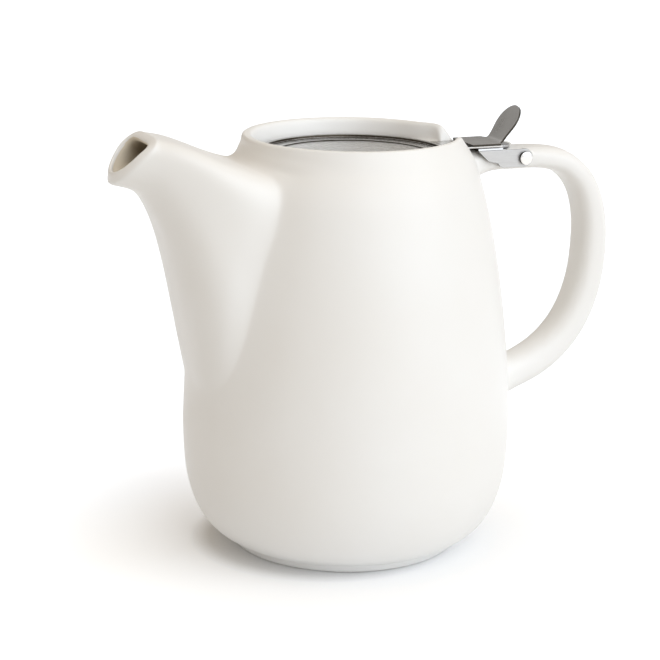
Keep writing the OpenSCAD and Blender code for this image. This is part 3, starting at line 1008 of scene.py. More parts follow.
    def handle_rings(self, count: int) -> list[np.ndarray]:
        """Sections of the handle from the upper arm, round the back, to the lower root.

        Args:
            count: points round each section.

        Returns:
            The sections in order.
        """
        rings = []
        end_w, start_w, grow = self.bend_w
        for x, drop in self.arm_stations:
            wide = self.block_w if x < self.block_end else end_w
            middle = (x, self.arm_z - drop / 2)
            rings.append(self.handle_section(middle, (1, 0), self.arm_t + drop, wide, count, self.arm_square))
        for curve, stations, first_t, last_t in ((self.bend, self.bend_stations, self.arm_t, self.back_t),
                                                 (self.back, self.back_stations, self.back_t, self.root_t)):
            for s in stations:
                thick = first_t + (last_t - first_t) * s
                wide = min(self.handle_w, start_w + grow * s) if curve is self.bend else self.handle_w
                rings.append(self.handle_section(cubic(curve, s)[0], cubic_way(curve, s)[0], thick, wide,
                                                 count, self.grip_square))
        return rings

    def slide(self, held: dict[Cell, Span]) -> tuple[np.ndarray, np.ndarray]:
        """Slides the cage's vertices over the outer or inner wall, so that they make room for the held ones.

        Args:
            held: turn and height of each vertex whose place is given.

        Returns:
            Turn and height of every vertex, by row and column.
        """
        r, z = np.array(self.profile, float).T
        count = len(r)
        step = np.hypot(np.diff(r), np.diff(z))
        up = 1 / np.append(step, 1)[:, None]
        down = 1 / np.insert(step, 0, 1)[:, None]
        gaps = (np.roll(self.turns, -1) - self.turns) % FULL_TURN
        right = 1 / np.maximum(r[:, None] * gaps[None], self.slide_least)
        left = np.roll(right, 1, 1)
        free = np.zeros((count, self.columns), bool)
        free[self.belly_row + 2:self.lip_row] = True
        free[self.inside_row - 1:self.floor_row - 2] = True
        move = np.zeros((count, self.columns, 2))
        for (row, col), (to_turn, to_height) in held.items():
            around = (to_turn - self.turns[col] + math.pi) % FULL_TURN - math.pi
            move[row, col] = (around, to_height - z[row])
            free[row, col] = False
        total = (up + down + right + left)[..., None]
        for _ in range(self.slide_rounds):
            mean = up[..., None] * np.roll(move, -1, 0) + down[..., None] * np.roll(move, 1, 0)
            mean = mean + right[..., None] * np.roll(move, -1, 1) + left[..., None] * np.roll(move, 1, 1)
            move = np.where(free[..., None], mean / total, move)
        return self.turns[None] + move[..., 0], z[:, None] + move[..., 1]

    def cage_points(self, turn: np.ndarray, height: np.ndarray) -> np.ndarray:
        """Places of the cage's vertices, with the mouth off the axis and the notch sunk into the rim.

        Args:
            turn: turn of each vertex by row and column.
            height: height of each vertex by row and column.

        Returns:
            One point for each row and column.
        """
        outside = slice(self.belly_row, self.lip_row)
        inside = slice(self.inside_row, self.floor_row)
        r = np.tile(np.array(self.profile, float)[:, :1], (1, self.columns))
        r[outside] = self.outer_r(height[outside])
        r[inside] = self.inner_r(height[inside])
        points = np.stack([r * np.cos(turn), r * np.sin(turn), height], 2)
        points[outside, :, 0] += self.neck(height[outside])
        shift = np.zeros(len(self.profile))
        shift[self.lip_row - 2:self.lip_row + 1] = self.shift_rise
        shift[self.lip_row + 1:self.inside_row - 2] = 1
        shift[self.inside_row - 2] = self.shift_fall
        points[:, :, 0] += self.mouth_shift * shift[:, None]
        self.sink_notch(points)
        return points

    def sink_notch(self, points: np.ndarray) -> None:
        """Sinks the notch into the rim and flares the rim's far end beside it.

        Args:
            points: the cage's points by row and column, which are moved.
        """
        x, y = points[:, :, 0], points[:, :, 1]
        hump = np.where(y < 0, self.notch_near, self.notch_far)
        past = np.clip((np.abs(y) - self.notch_half) / hump, 0, 1)
        climb = np.where(y < 0, np.sin(math.pi / 2 * past), np.sqrt(past * (2 - past)))
        crest = np.where(x > 0, self.ledge_z + (self.crest_z - self.ledge_z) * climb, self.crest_z)
        top = self.row_at(self.notch_z)
        for row in range(top + 1, self.ledge_row):
            base = self.notch_z if row < self.lip_row else self.ledge_z
            share = np.maximum((crest[row] - base) / (self.crest_z - base), self.notch_least)
            points[row, :, 2] = base + (points[row, :, 2] - base) * share
        near_end = np.clip((self.flare_start - y) / (self.flare_start - self.flare_full), 0, 1)
        near_end = near_end * (y > self.flare_end) * (x > 0)
        bounds = [top, top + 1, self.ledge_row - 2, self.ledge_row]
        upper = np.interp(np.arange(len(points)), bounds, [0, 1, 1, 0])
        points[:, :, 0] += self.flare * upper[:, None] * smooth_step(near_end)

    def build(self) -> Piece:
        """Models the casting as a cage that is spun, opened, drawn out and smoothed.

        Returns:
            The casting.
        """
        half = self.spout_columns // 2
        arm = self.ring_cells(self.arm_rows, 0, 2)
        root = self.ring_cells(self.root_rows, 0, 2)
        spout = self.ring_cells(self.spout_rows, self.columns // 2, -half)
        passage = self.ring_cells(self.passage_rows, self.columns // 2, -half)
        held = {}
        a = np.radians(90 - 360 / len(arm) * np.arange(len(arm)))
        rise, reach = soft_power(np.sin(a), self.hole_round), soft_power(np.cos(a), self.hole_round)
        for ring, (middle, tall, wide) in ((arm, self.arm_hole), (root, self.root_hole)):
            for k, cell in enumerate(ring):
                z = middle + tall * rise[k]
                held[cell] = (math.asin(wide * reach[k] / float(self.outer_r(z))), z)
        skins = []
        for ring, inside in ((spout, False), (passage, True)):
            turn, height, skin = self.spout_lines(len(ring), inside)
            held.update(zip(ring, zip(turn.tolist(), height.tolist())))
            skins.append(skin)
        points = self.cage_points(*self.slide(held))
        line = np.array([(r, 0.0, z) for r, z in self.profile])
        obj = spin_line("porcelain_casting", line, self.columns, (0, 0, 0), (0, 0, 1), 0.01)
        index = self.open_holes(obj, self.place_cage(obj, points), [arm, root, spout, passage])
        edges = [np.array([points[c] for c in ring]) for ring in (arm, root, passage)]
        self.draw_spout(obj, [index[c] for c in spout], *skins, edges[2])
        self.draw_handle(obj, [index[c] for c in arm], edges[0], edges[1])
        weld(0.02)
        self.settle(obj)
        apply_modifier(obj, "SUBSURF", levels=self.levels, render_levels=self.levels)
        drill_across(obj, self.bore_r)
        return obj

    def place_cage(self, obj: Piece, points: np.ndarray) -> dict[Cell, int]:
        """Moves the spun vertices to their places and notes which is which.

        Args:
            obj: the spun mesh in edit mode.
            points: place of each row and column.

        Returns:
            Vertex number of each row and column.
        """
        work = bmesh.from_edit_mesh(obj.data)
        profile = np.array(self.profile)
        index = {}
        for vertex in work.verts:
            r = math.hypot(vertex.co.x, vertex.co.y)
            row = int(np.argmin(np.sum((profile - (r, vertex.co.z)) ** 2, 1)))
            col = round(math.atan2(vertex.co.y, vertex.co.x) / FULL_TURN * self.columns) % self.columns
            index[(row, col)] = vertex.index
            vertex.co = points[row, col] if r > 0.1 else vertex.co
        bmesh.update_edit_mesh(obj.data)
        return index

    @staticmethod
    def open_holes(obj: Piece, index: dict[Cell, int], rings: list[list[Cell]]) -> dict[Cell, int]:
        """Deletes the faces inside the rings of cells.

        Args:
            obj: the cage in edit mode.
            index: vertex number of each row and column.
            rings: the cells round each hole.

        Returns:
            Vertex numbers after the faces are gone.
        """
        cell_of = {number: cell for cell, number in index.items()}
        start_picking("FACE")
        work = bmesh.from_edit_mesh(obj.data)
        work.verts.ensure_lookup_table()
        places = {cell: spot(work.verts[number]) for cell, number in index.items()}
        for ring in rings:
            rows, cols = ({cell[i] for cell in ring} for i in range(2))
            for face in work.faces:
                cells = [cell_of.get(v.index, (-1, -1)) for v in face.verts]
                if all(r in rows and c in cols for r, c in cells):
                    face.select_set(True)
        bmesh.update_edit_mesh(obj.data)
        bpy.ops.mesh.delete(type="FACE")
        bpy.ops.object.mode_set(mode="OBJECT")
        bpy.ops.object.mode_set(mode="EDIT")
        number_at = {spot(v): v.index for v in bmesh.from_edit_mesh(obj.data).verts}
        return {cell: number_at[place] for cell, place in places.items() if place in number_at}

    @staticmethod
    def pull_ring(obj: Piece, ring: list[int], points: np.ndarray) -> list[int]:
        """Extrudes a closed ring of vertices and moves each new vertex to its point.

        Args:
            obj: the cage in edit mode.
            ring: vertex numbers, once round.
            points: a point for each.

        Returns:
            The new ring's vertex numbers.
        """
        start_picking("EDGE")
        work = bmesh.from_edit_mesh(obj.data)
        work.verts.ensure_lookup_table()
        for a, b in zip(ring, ring[1:] + ring[:1]):
            work.edges.get((work.verts[a], work.verts[b])).select_set(True)
        bmesh.update_edit_mesh(obj.data)
        bpy.ops.mesh.extrude_edges_move()
        work = bmesh.from_edit_mesh(obj.data)
        work.verts.index_update()
        work.verts.ensure_lookup_table()
        pulled = []
        for number, point in zip(ring, points):
            old = work.verts[number]
            new = next(e.other_vert(old) for e in old.link_edges if e.other_vert(old).select)
            new.co = point
            pulled.append(new.index)
        bmesh.update_edit_mesh(obj.data)
        return pulled

    def draw_spout(self, obj: Piece, ring: list[int], skin: np.ndarray, lining: np.ndarray,
                   inner_edge: np.ndarray) -> None:
        """Draws the spout out of the wall, turns it over its lip and leads it back inside.

        Args:
            obj: the cage in edit mode.
            ring: the hole's vertices in the outer wall.
            skin: rings of the outside, from the wall to the mouth.
            lining: rings of the passage, from the inner wall to the mouth.
            inner_edge: the hole's places in the inner wall.
        """
        lip = [self.mouth_ring(len(ring), inset * self.mouth_lip, push * self.mouth_lip)
               for inset, push in self.lip_steps]
        for points in (*skin, *lip, *lining[::-1], inner_edge):
            ring = self.pull_ring(obj, ring, points)

    def draw_handle(self, obj: Piece, ring: list[int], arm_edge: np.ndarray, root_edge: np.ndarray) -> None:
        """Draws the handle out of the shoulder, round its back and into the belly.

        Args:
            obj: the cage in edit mode.
            ring: the upper hole's vertices.
            arm_edge: the upper hole's places.
            root_edge: the lower hole's places.
        """
        count = len(ring)
        sections = self.handle_rings(count)
        arm = self.handle_section((0, self.arm_z - self.arm_swell / 2), (1, 0), self.arm_t + self.arm_swell,
                                  self.block_w + self.block_swell, count, self.arm_square)
        arm[:, 0] = np.sqrt(self.outer_r(arm[:, 2]) ** 2 - arm[:, 1] ** 2) + self.neck(arm[:, 2])
        root = self.handle_section((0, self.root_z), (-1, 0), self.root_t, self.handle_w, count,
                                   self.grip_square)
        root[:, 0] = np.sqrt(self.outer_r(root[:, 2]) ** 2 - root[:, 1] ** 2)
        arm_blend = 0.25 * arm_edge + 0.5 * arm + 0.25 * sections[0]
        root_blend = 0.25 * root_edge + 0.5 * root + 0.25 * sections[-1]
        for points in (arm_blend, *sections, root_blend, root_edge):
            ring = self.pull_ring(obj, ring, points)

    def settle(self, obj: Piece) -> None:
        """Moves the cage until the smooth surface passes through the places its vertices had.

        The rim's ends beside the notch are left as they are, so that they stay soft.

        Args:
            obj: the cage.
        """
        clear_bench()
        count = len(obj.data.vertices)
        target = np.zeros(count * 3)
        obj.data.vertices.foreach_get("co", target)
        cage = target.copy()
        x, y, z = target.reshape(-1, 3).T
        soft = z > self.soft_z
        for value, (low, high) in ((x, self.soft_x), (np.abs(y), self.soft_y)):
            soft = soft & (value > low) & (value < high)
        share = np.repeat(np.where(soft, 0.0, self.settle_share), 3)
        smooth = obj.modifiers.new("smooth", "SUBSURF")
        smooth.levels = smooth.render_levels = 1
        smooth.use_limit_surface = True
        for _ in range(self.settle_rounds):
            shaped = obj.evaluated_get(bpy.context.evaluated_depsgraph_get()).to_mesh()
            now = np.zeros(len(shaped.vertices) * 3)
            shaped.vertices.foreach_get("co", now)
            cage += share * (target - now[:count * 3])
            obj.data.vertices.foreach_set("co", cage)
            obj.data.update()
        obj.modifiers.remove(smooth)

    def in_passage(self, at: Vector, normal: Vector) -> bool:
        """Says if a face belongs to the spout's passage, whose walls look at its middle line.

        Args:
            at: the face's middle.
            normal: its normal.

        Returns:
            True for the passage from the lip to the body's wall.
        """
        tilt = math.radians(self.mouth_tilt)
        lip = (np.array(self.skin.top[-1]) + np.array(self.skin.low[-1])) / 2
        out = (lip[0] - at.x) * math.cos(tilt) + (at.z - lip[1]) * math.sin(tilt)
        if at.x > -self.passage_from or out > self.passage_lip * self.mouth_lip:
            return False
        top, low, _ = self.lining.at(np.linspace(0, 1, 60))
        line = (top + low) / 2
        near = line[np.argmin(np.sum((line - (at.x, at.z)) ** 2, 1))]
        return normal.dot(Vector((near[0] - at.x, -at.y, near[1] - at.z))) > 0

    def dress(self, finish: Finish, passage: Finish) -> None:
        """Builds the casting and hands it over."""
        finish_piece(self.build(), Rides.POT, Slot.PORCELAIN, finish, ("pot_body", "handle"), crease=60,
                     patch=Patch(passage, self.in_passage))


# Lid


@dataclass
class PanLid:
    """Pressed steel lid with two steps down to its middle and a tab to the hinge.

    A fold is listed by the distance out from its step's radius and the share of the step's height, and
    under the sheet also by how far it hangs lower.
    """

    centre_x: float = 1.4
    radius: float = 34.6
    top: float = 145.6
    sheet: float = 0.6
    step_outer_r: float = 32.3
    step_inner_r: float = 28.2
    step_outer_h: float = 1.2
    step_inner_h: float = 0.5
    fold_above: tuple = ((-0.55, 0), (-0.12, 0.07), (0.1, 0.3), (0.3, 0.7), (0.52, 0.93), (0.95, 1))
    fold_below: tuple = ((1.25, 1, 0), (0.9, 1, 0.1), (0.6, 0.25, 0), (0.1, 0, 0))
    edge_round: tuple = ((0.3, 0), (0.08, 0.08), (0, 0.3), (0, 0.54), (0.06, 0.6))
    # Bands of painted shade at the inner step, the outer step and the edge, in and out from their radii.
    shaded: tuple = ((-0.1, 0.5), (-0.2, 0.7), (-0.4, 0.2))
    tab_half: float = 8.0
    tab_end: float = 57.0
    columns: int = 96

    def profile(self) -> Pairs:
        """Radius and height of the sheet's section, along its top and back along its underside.

        Returns:
            The section's points.
        """
        middle = self.top - self.step_outer_h
        lowest = middle - self.step_inner_h
        steps = [(self.step_inner_r, lowest, middle), (self.step_outer_r, middle, self.top)]
        out = [(0, lowest), (self.step_inner_r * 0.6, lowest)]
        for r, low, high in steps:
            out += [(r + way, low + share * (high - low)) for way, share in self.fold_above]
        out += [(self.radius - way, self.top - drop) for way, drop in self.edge_round]
        for r, low, high in steps[::-1]:
            out += [(r + way, low + share * (high - low) - self.sheet - drop)
                    for way, share, drop in self.fold_below]
        return out + [(0, lowest - self.sheet)]

    def folds(self) -> tuple[Span, ...]:
        """Radii of the bands of painted shade on the steps and the edge."""
        middles = (self.step_inner_r, self.step_outer_r, self.radius)
        return tuple((r + near, r + far) for r, (near, far) in zip(middles, self.shaded))

    def build(self) -> Piece:
        """Spins the pan and draws its tab out of the edge.

        Returns:
            The lid.
        """
        line = np.array([(r + self.centre_x, 0.0, z) for r, z in self.profile()])
        obj = spin_line("lid_pan", line, self.columns, (self.centre_x, 0, 0), (0, 0, 1), 0.01)
        half_turn = math.asin(self.tab_half / self.radius)
        step = FULL_TURN / self.columns
        edge_columns = round(half_turn / step)
        share = half_turn / (edge_columns * step)
        start_picking("FACE")
        work = bmesh.from_edit_mesh(obj.data)
        for vertex in work.verts:
            x, y = vertex.co.x - self.centre_x, vertex.co.y
            r, a = math.hypot(x, y), math.atan2(y, x)
            if r > self.step_outer_r and abs(a) < (edge_columns + 0.5) * step:
                vertex.co.x = self.centre_x + r * math.cos(a * share)
                vertex.co.y = r * math.sin(a * share)
        bmesh.update_edit_mesh(obj.data)
        limit = self.centre_x + self.radius * math.cos(half_turn) - 0.2
        for face in work.faces:
            at = face.calc_center_median()
            face.select_set(at.x > limit and abs(at.y) < self.tab_half and face.normal.x > 0.5)
        work.select_flush(True)
        bmesh.update_edit_mesh(obj.data)
        extrude((10, 0, 0))
        bpy.ops.transform.resize(value=(0, 1, 1), center_override=(self.tab_end, 0, 0))
        weld(SHEET_GAP)
        clear_bench()
        return obj

    def dress(self, finish: Finish) -> None:
        """Builds the lid and hands it over."""
        finish_piece(self.build(), Rides.LID, Slot.LID_STEEL, finish, ("lid",))


# Hinge


@dataclass
class ThumbLever:
    """Steel strap on the lid's tab whose end is bent up as a thumb plate.

    The ends of the strap are listed by X from its front or bend and how much narrower it is there.
    """

    front: float = 44.6
    front_ends: tuple = ((0, 0.5), (0.15, 0.2), (0.5, 0))
    strap_x: tuple = (49.5, 52.0, 54.2, 55.5)
    bend_x: float = 56.4
    bend_ends: tuple = ((-0.3, 0.15), (-0.02, 0.9))
    base: float = 145.6
    sheet: float = 0.8
    strap_half: float = 8.8
    waist_half: float = 5.8
    waist_more: tuple = (0.9, 0.25, 0, 0, 0, 0)
    plate_half: float = 7.0
    plate_len: float = 14.0
    plate_shares: tuple = (0.2, 0.4, 0.6, 0.8, 1.0)
    tip_turns: tuple = (15, 30, 44, 57, 68, 77, 84)
    tilt: float = 55.0
    bend_r: float = 2.0
    across: int = 8
    edge_r: float = 0.16

    def stations(self) -> list[Triple]:
        """X, Z and half-width of the strip's middle surface, from its front to its rounded tip.

        Returns:
            The stations in order.
        """
        mid = self.base + self.sheet / 2
        out = [(self.front + x, mid, self.strap_half - less) for x, less in self.front_ends]
        out += [(x, mid, self.strap_half) for x in self.strap_x]
        out += [(self.bend_x + x, mid, self.strap_half - less) for x, less in self.bend_ends]
        turn_r = self.bend_r + self.sheet / 2
        axis_z = self.base + self.sheet + self.bend_r
        tilt = math.radians(self.tilt)
        for k, more in enumerate(self.waist_more, 1):
            a = tilt * k / len(self.waist_more)
            x, z = self.bend_x + turn_r * math.sin(a), axis_z - turn_r * math.cos(a)
            out.append((x, z, self.waist_half + more))
        start = np.array(out[-1][:2])
        along = np.array([math.cos(tilt), math.sin(tilt)])
        round_from = self.plate_len - self.plate_half
        for s in self.plate_shares:
            half = self.waist_half + (self.plate_half - self.waist_half) * smooth_step(s)
            out.append((*(start + along * round_from * s), half))
        for b in np.radians(self.tip_turns):
            reach = round_from + self.plate_half * math.sin(b)
            out.append((*(start + along * reach), self.plate_half * math.cos(b)))
        return out

    def build(self) -> Piece:
        """Extrudes the strip station by station, then gives it its sheet and round edges.

        Returns:
            The lever.
        """
        stations = self.stations()
        x, z, half = stations[0]
        obj = start_vertex("thumb_plate", (x, -half, z))
        extrude((0, 2 * half, 0))
        select_all()
        bpy.ops.mesh.subdivide(number_cuts=self.across - 1)
        for (x0, z0, half0), (x1, z1, half1) in zip(stations[:-1], stations[1:]):
            extrude((x1 - x0, 0, z1 - z0))
            bpy.ops.transform.resize(value=(1, half1 / half0, 1), center_override=(x1, 0, z1))
        weld(SHEET_GAP)
        apply_modifier(obj, "SOLIDIFY", thickness=self.sheet, offset=0)
        round_edges(obj, self.edge_r, 2, 50)
        return obj

    def on_edge(self, at: Vector, normal: Vector) -> bool:
        """Says if a face is part of the sheet's cut edge, which gets painted shade."""
        a = math.radians(self.tilt) if at.x > self.bend_x + self.bend_r else 0.0
        return abs(normal.z * math.cos(a) - normal.x * math.sin(a)) < 0.6

    def dress(self, finish: Finish, edge: Finish) -> None:
        """Builds the lever and hands it over, with painted shade on its cut edges."""
        finish_piece(self.build(), Rides.LID, Slot.HINGE_STEEL, finish, ("thumb_lever",),
                     patch=Patch(edge, self.on_edge))


@dataclass
class HingeBracket:
    """Folded steel channel under the tab, with two round-ended arms and a tongue."""

    front: float = 47.0
    end: float = 57.0
    top: float = 145.0
    sheet: float = 0.9
    plate_out: float = 8.8
    fold_r: float = 1.05
    arm_r: float = 3.25
    knee_x: float = 4.0
    knee_h: float = 2.7
    hole_r: float = 1.65
    tongue_half: float = 5.5
    tongue_end: float = 63.0
    tongue_round: float = 0.75
    tongue_in: float = 0.4
    edge_r: float = 0.14

    def side_outline(self) -> Pairs:
        """X and Z round one side plate, below the fold.

        Returns:
            The outline's points.
        """
        low = PIVOT_Z - self.arm_r
        fold = self.top - self.fold_r
        out = [(self.front, fold), (self.end - 0.6, fold), (self.end + 0.5, fold + 0.25)]
        out += [(self.end + 1.2, PIVOT_Z + self.arm_r)]
        for a in np.radians(np.arange(90, -91, -15)):
            out.append((PIVOT_X + self.arm_r * math.cos(a), PIVOT_Z + self.arm_r * math.sin(a)))
        out += [(self.end, low), (self.end - 1.2, low + 0.6), (self.end - 2, low + self.knee_h - 1)]
        return out + [(self.front + self.knee_x, low + self.knee_h)]

    def side_plate(self, side: Side) -> Piece:
        """Models one side plate with its hole, from its outline.

        Args:
            side: which side of the handle.

        Returns:
            The plate.
        """
        y = side.value * (self.plate_out - self.sheet)
        outline = np.array([(x, y, z) for x, z in self.side_outline()])
        obj = cut_plate("hinge_plate", outline, (0, side.value * self.sheet, 0))
        drill_across(obj, self.hole_r)
        return obj

    def fold_sheet(self) -> Piece:
        """Models the top plate with its two folds, as a strip that is given its sheet.

        Returns:
            The folded plate.
        """
        mid_r = self.fold_r - self.sheet / 2
        flat_y = self.plate_out - self.fold_r
        z_top = self.top - self.sheet / 2
        half = [(0.0, z_top), (flat_y * 0.6, z_top)]
        for a in np.radians(np.arange(90, -1, -15)):
            half.append((flat_y + mid_r * math.cos(a), self.top - self.fold_r + mid_r * math.sin(a)))
        section = [(-y, z) for y, z in half[:0:-1]] + half
        points = np.array([(self.front, y, z) for y, z in section])
        obj = start_vertex("hinge_top", tuple(points[0]))
        extrude_along(points)
        select_all()
        extrude((self.end - self.front, 0, 0))
        weld(SHEET_GAP)
        apply_modifier(obj, "SOLIDIFY", thickness=self.sheet, offset=0)
        return obj

    def tongue(self) -> Piece:
        """Models the rounded tongue behind the top plate.

        Returns:
            The tongue.
        """
        long = self.tongue_round * self.tongue_half
        root = self.end - self.tongue_in
        outline = [(root, -self.tongue_half), (root, self.tongue_half)]
        for a in np.radians(np.arange(90, -91, -18)):
            outline.append((self.tongue_end - long + long * math.cos(a), self.tongue_half * math.sin(a)))
        points = np.array([(x, y, self.top - self.sheet) for x, y in outline])
        return cut_plate("hinge_tongue", points, (0, 0, self.sheet))

    def build(self) -> Piece:
        """Joins the folded top, the side plates and the tongue, and rounds the sheet's edges.

        Returns:
            The bracket.
        """
        parts = [self.fold_sheet(), self.side_plate(Side.NEAR), self.side_plate(Side.FAR), self.tongue()]
        for part in parts:
            round_edges(part, self.edge_r, 2, 40)
        clear_bench()
        for part in parts:
            part.select_set(True)
        bpy.context.view_layer.objects.active = parts[0]
        bpy.ops.object.join()
        obj = bpy.context.object
        obj.name = "hinge_channel"
        obj.data.name = "hinge_channel"
        return obj

    @staticmethod
    def in_shade(at: Vector, normal: Vector) -> bool:
        """Says if a face lies inside the channel or on its front and lower cut edges, where shade is painted.
        """
        return normal.z < -0.6 or normal.x < -0.6 or at.y * normal.y < -4

    def dress(self, finish: Finish, shade: Finish) -> None:
        """Builds the bracket and hands it over, with painted shade inside and on its front and lower edges.
        """
        finish_piece(self.build(), Rides.LID, Slot.HINGE_STEEL, finish, ("hinge_bracket",),
                     patch=Patch(shade, self.in_shade))


@dataclass
class HingePin:
    """Pin of the hinge: a smooth head on the near side and a slotted screw on the far side."""

    pin_r: float = 1.6
    pin_round: float = 0.1
    head_r: float = 2.5
    head_t: float = 1.4
    head_in: float = 8.9
    head_round: float = 0.08
    head_dome: tuple = ((0, 0.62), (0.06, 0.38), (0.2, 0.22), (0.45, 0.12), (1.125, 0.03), (1.875, 0.005))
    slot_w: float = 0.8
    slot_deep: float = 0.6
    slot_turn: float = 25
    slot_edge: float = 0.06

    def turned(self, name: str, profile: Pairs, side: Side) -> Piece:
        """Spins a profile of radius and distance from the handle's middle about the pin's axis.

        Args:
            name: the piece's name.
            profile: radius and distance pairs.
            side: which way the distance is counted.

        Returns:
            The turned piece.
        """
        points = np.array([(PIVOT_X + r, side.value * d, PIVOT_Z) for r, d in profile])
        obj = spin_line(name, points, ROUND_STEPS, (PIVOT_X, 0, PIVOT_Z), (0, 1, 0), 0.003)
        clear_bench()
        return obj

    def head_profile(self) -> Pairs:
        """Radius and distance pairs over a gently domed head with a rounded edge.

        Returns:
            The head's points, from its underside to its middle.
        """
        top = self.head_in + self.head_t
        out = [(self.head_r - self.head_round, self.head_in), (self.head_r, self.head_in + self.head_round)]
        return out + [(self.head_r - way, top - drop) for way, drop in self.head_dome] + [(0, top)]

    def build_barrel(self) -> Piece:
        """Models the near head and the pin through the handle.

        Returns:
            The barrel.
        """
        tip = -self.head_in
        shaft = [(0, tip), (self.pin_r - self.pin_round, tip), (self.pin_r, tip + self.pin_round)]
        shaft += [(self.pin_r, self.head_in)]
        return self.turned("hinge_barrel", shaft + self.head_profile(), Side.NEAR)

    def build_screw(self) -> Piece:
        """Models the slotted screw head on the far side.

        Returns:
            The screw.
        """
        obj = self.turned("hinge_screw", [(0, self.head_in)] + self.head_profile(), Side.FAR)
        bpy.ops.mesh.primitive_cube_add(size=1, location=(PIVOT_X, self.head_in + self.head_t, PIVOT_Z))
        cutter = bpy.context.object
        cutter.scale = (4 * self.head_r, 2 * self.slot_deep, self.slot_w)
        cutter.rotation_euler = (0, math.radians(self.slot_turn), 0)
        cut_away(obj, cutter)
        round_edges(obj, self.slot_edge, 1, 50)
        return obj

    def dress(self, finish: Finish, side: Finish) -> None:
        """Builds the pin's two pieces and hands them over.

        Args:
            finish: the finish of the heads' faces.
            side: the near-black finish that paints shade on what is turned away from the hinge's axis.
        """
        # Painted shade on the round sides of both heads.
        patch = Patch(side, lambda at, normal: abs(normal.y) < 0.5)
        finish_piece(self.build_barrel(), Rides.POT, Slot.PIN_STEEL, finish, ("pivot_barrel",), patch=patch)
        finish_piece(self.build_screw(), Rides.POT, Slot.PIN_STEEL, finish, ("pivot_screw",), patch=patch)


@dataclass
class CarriedNodes:
    """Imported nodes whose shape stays, with their finishes."""

    basket: tuple[str, ...] = ("infuser_flange", "infuser_sleeve", "infuser_base")
    plastic: tuple[str, ...] = ("pivot_sleeve", "near_washer", "far_washer")

    def dress(self, steel: Finish, nylon: Finish) -> None:
        """Gives each node its finish.

        Args:
            steel: the basket's finish.
            nylon: the finish of the sleeve and the washers.
        """
        for names, finish in ((self.basket, steel), (self.plastic, nylon)):
            for name in names:
                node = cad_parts[name]
                node.data.materials.clear()
                node.data.materials.append(finish)
                log.info("%s: kept, %s", name, finish.name)


# Studio


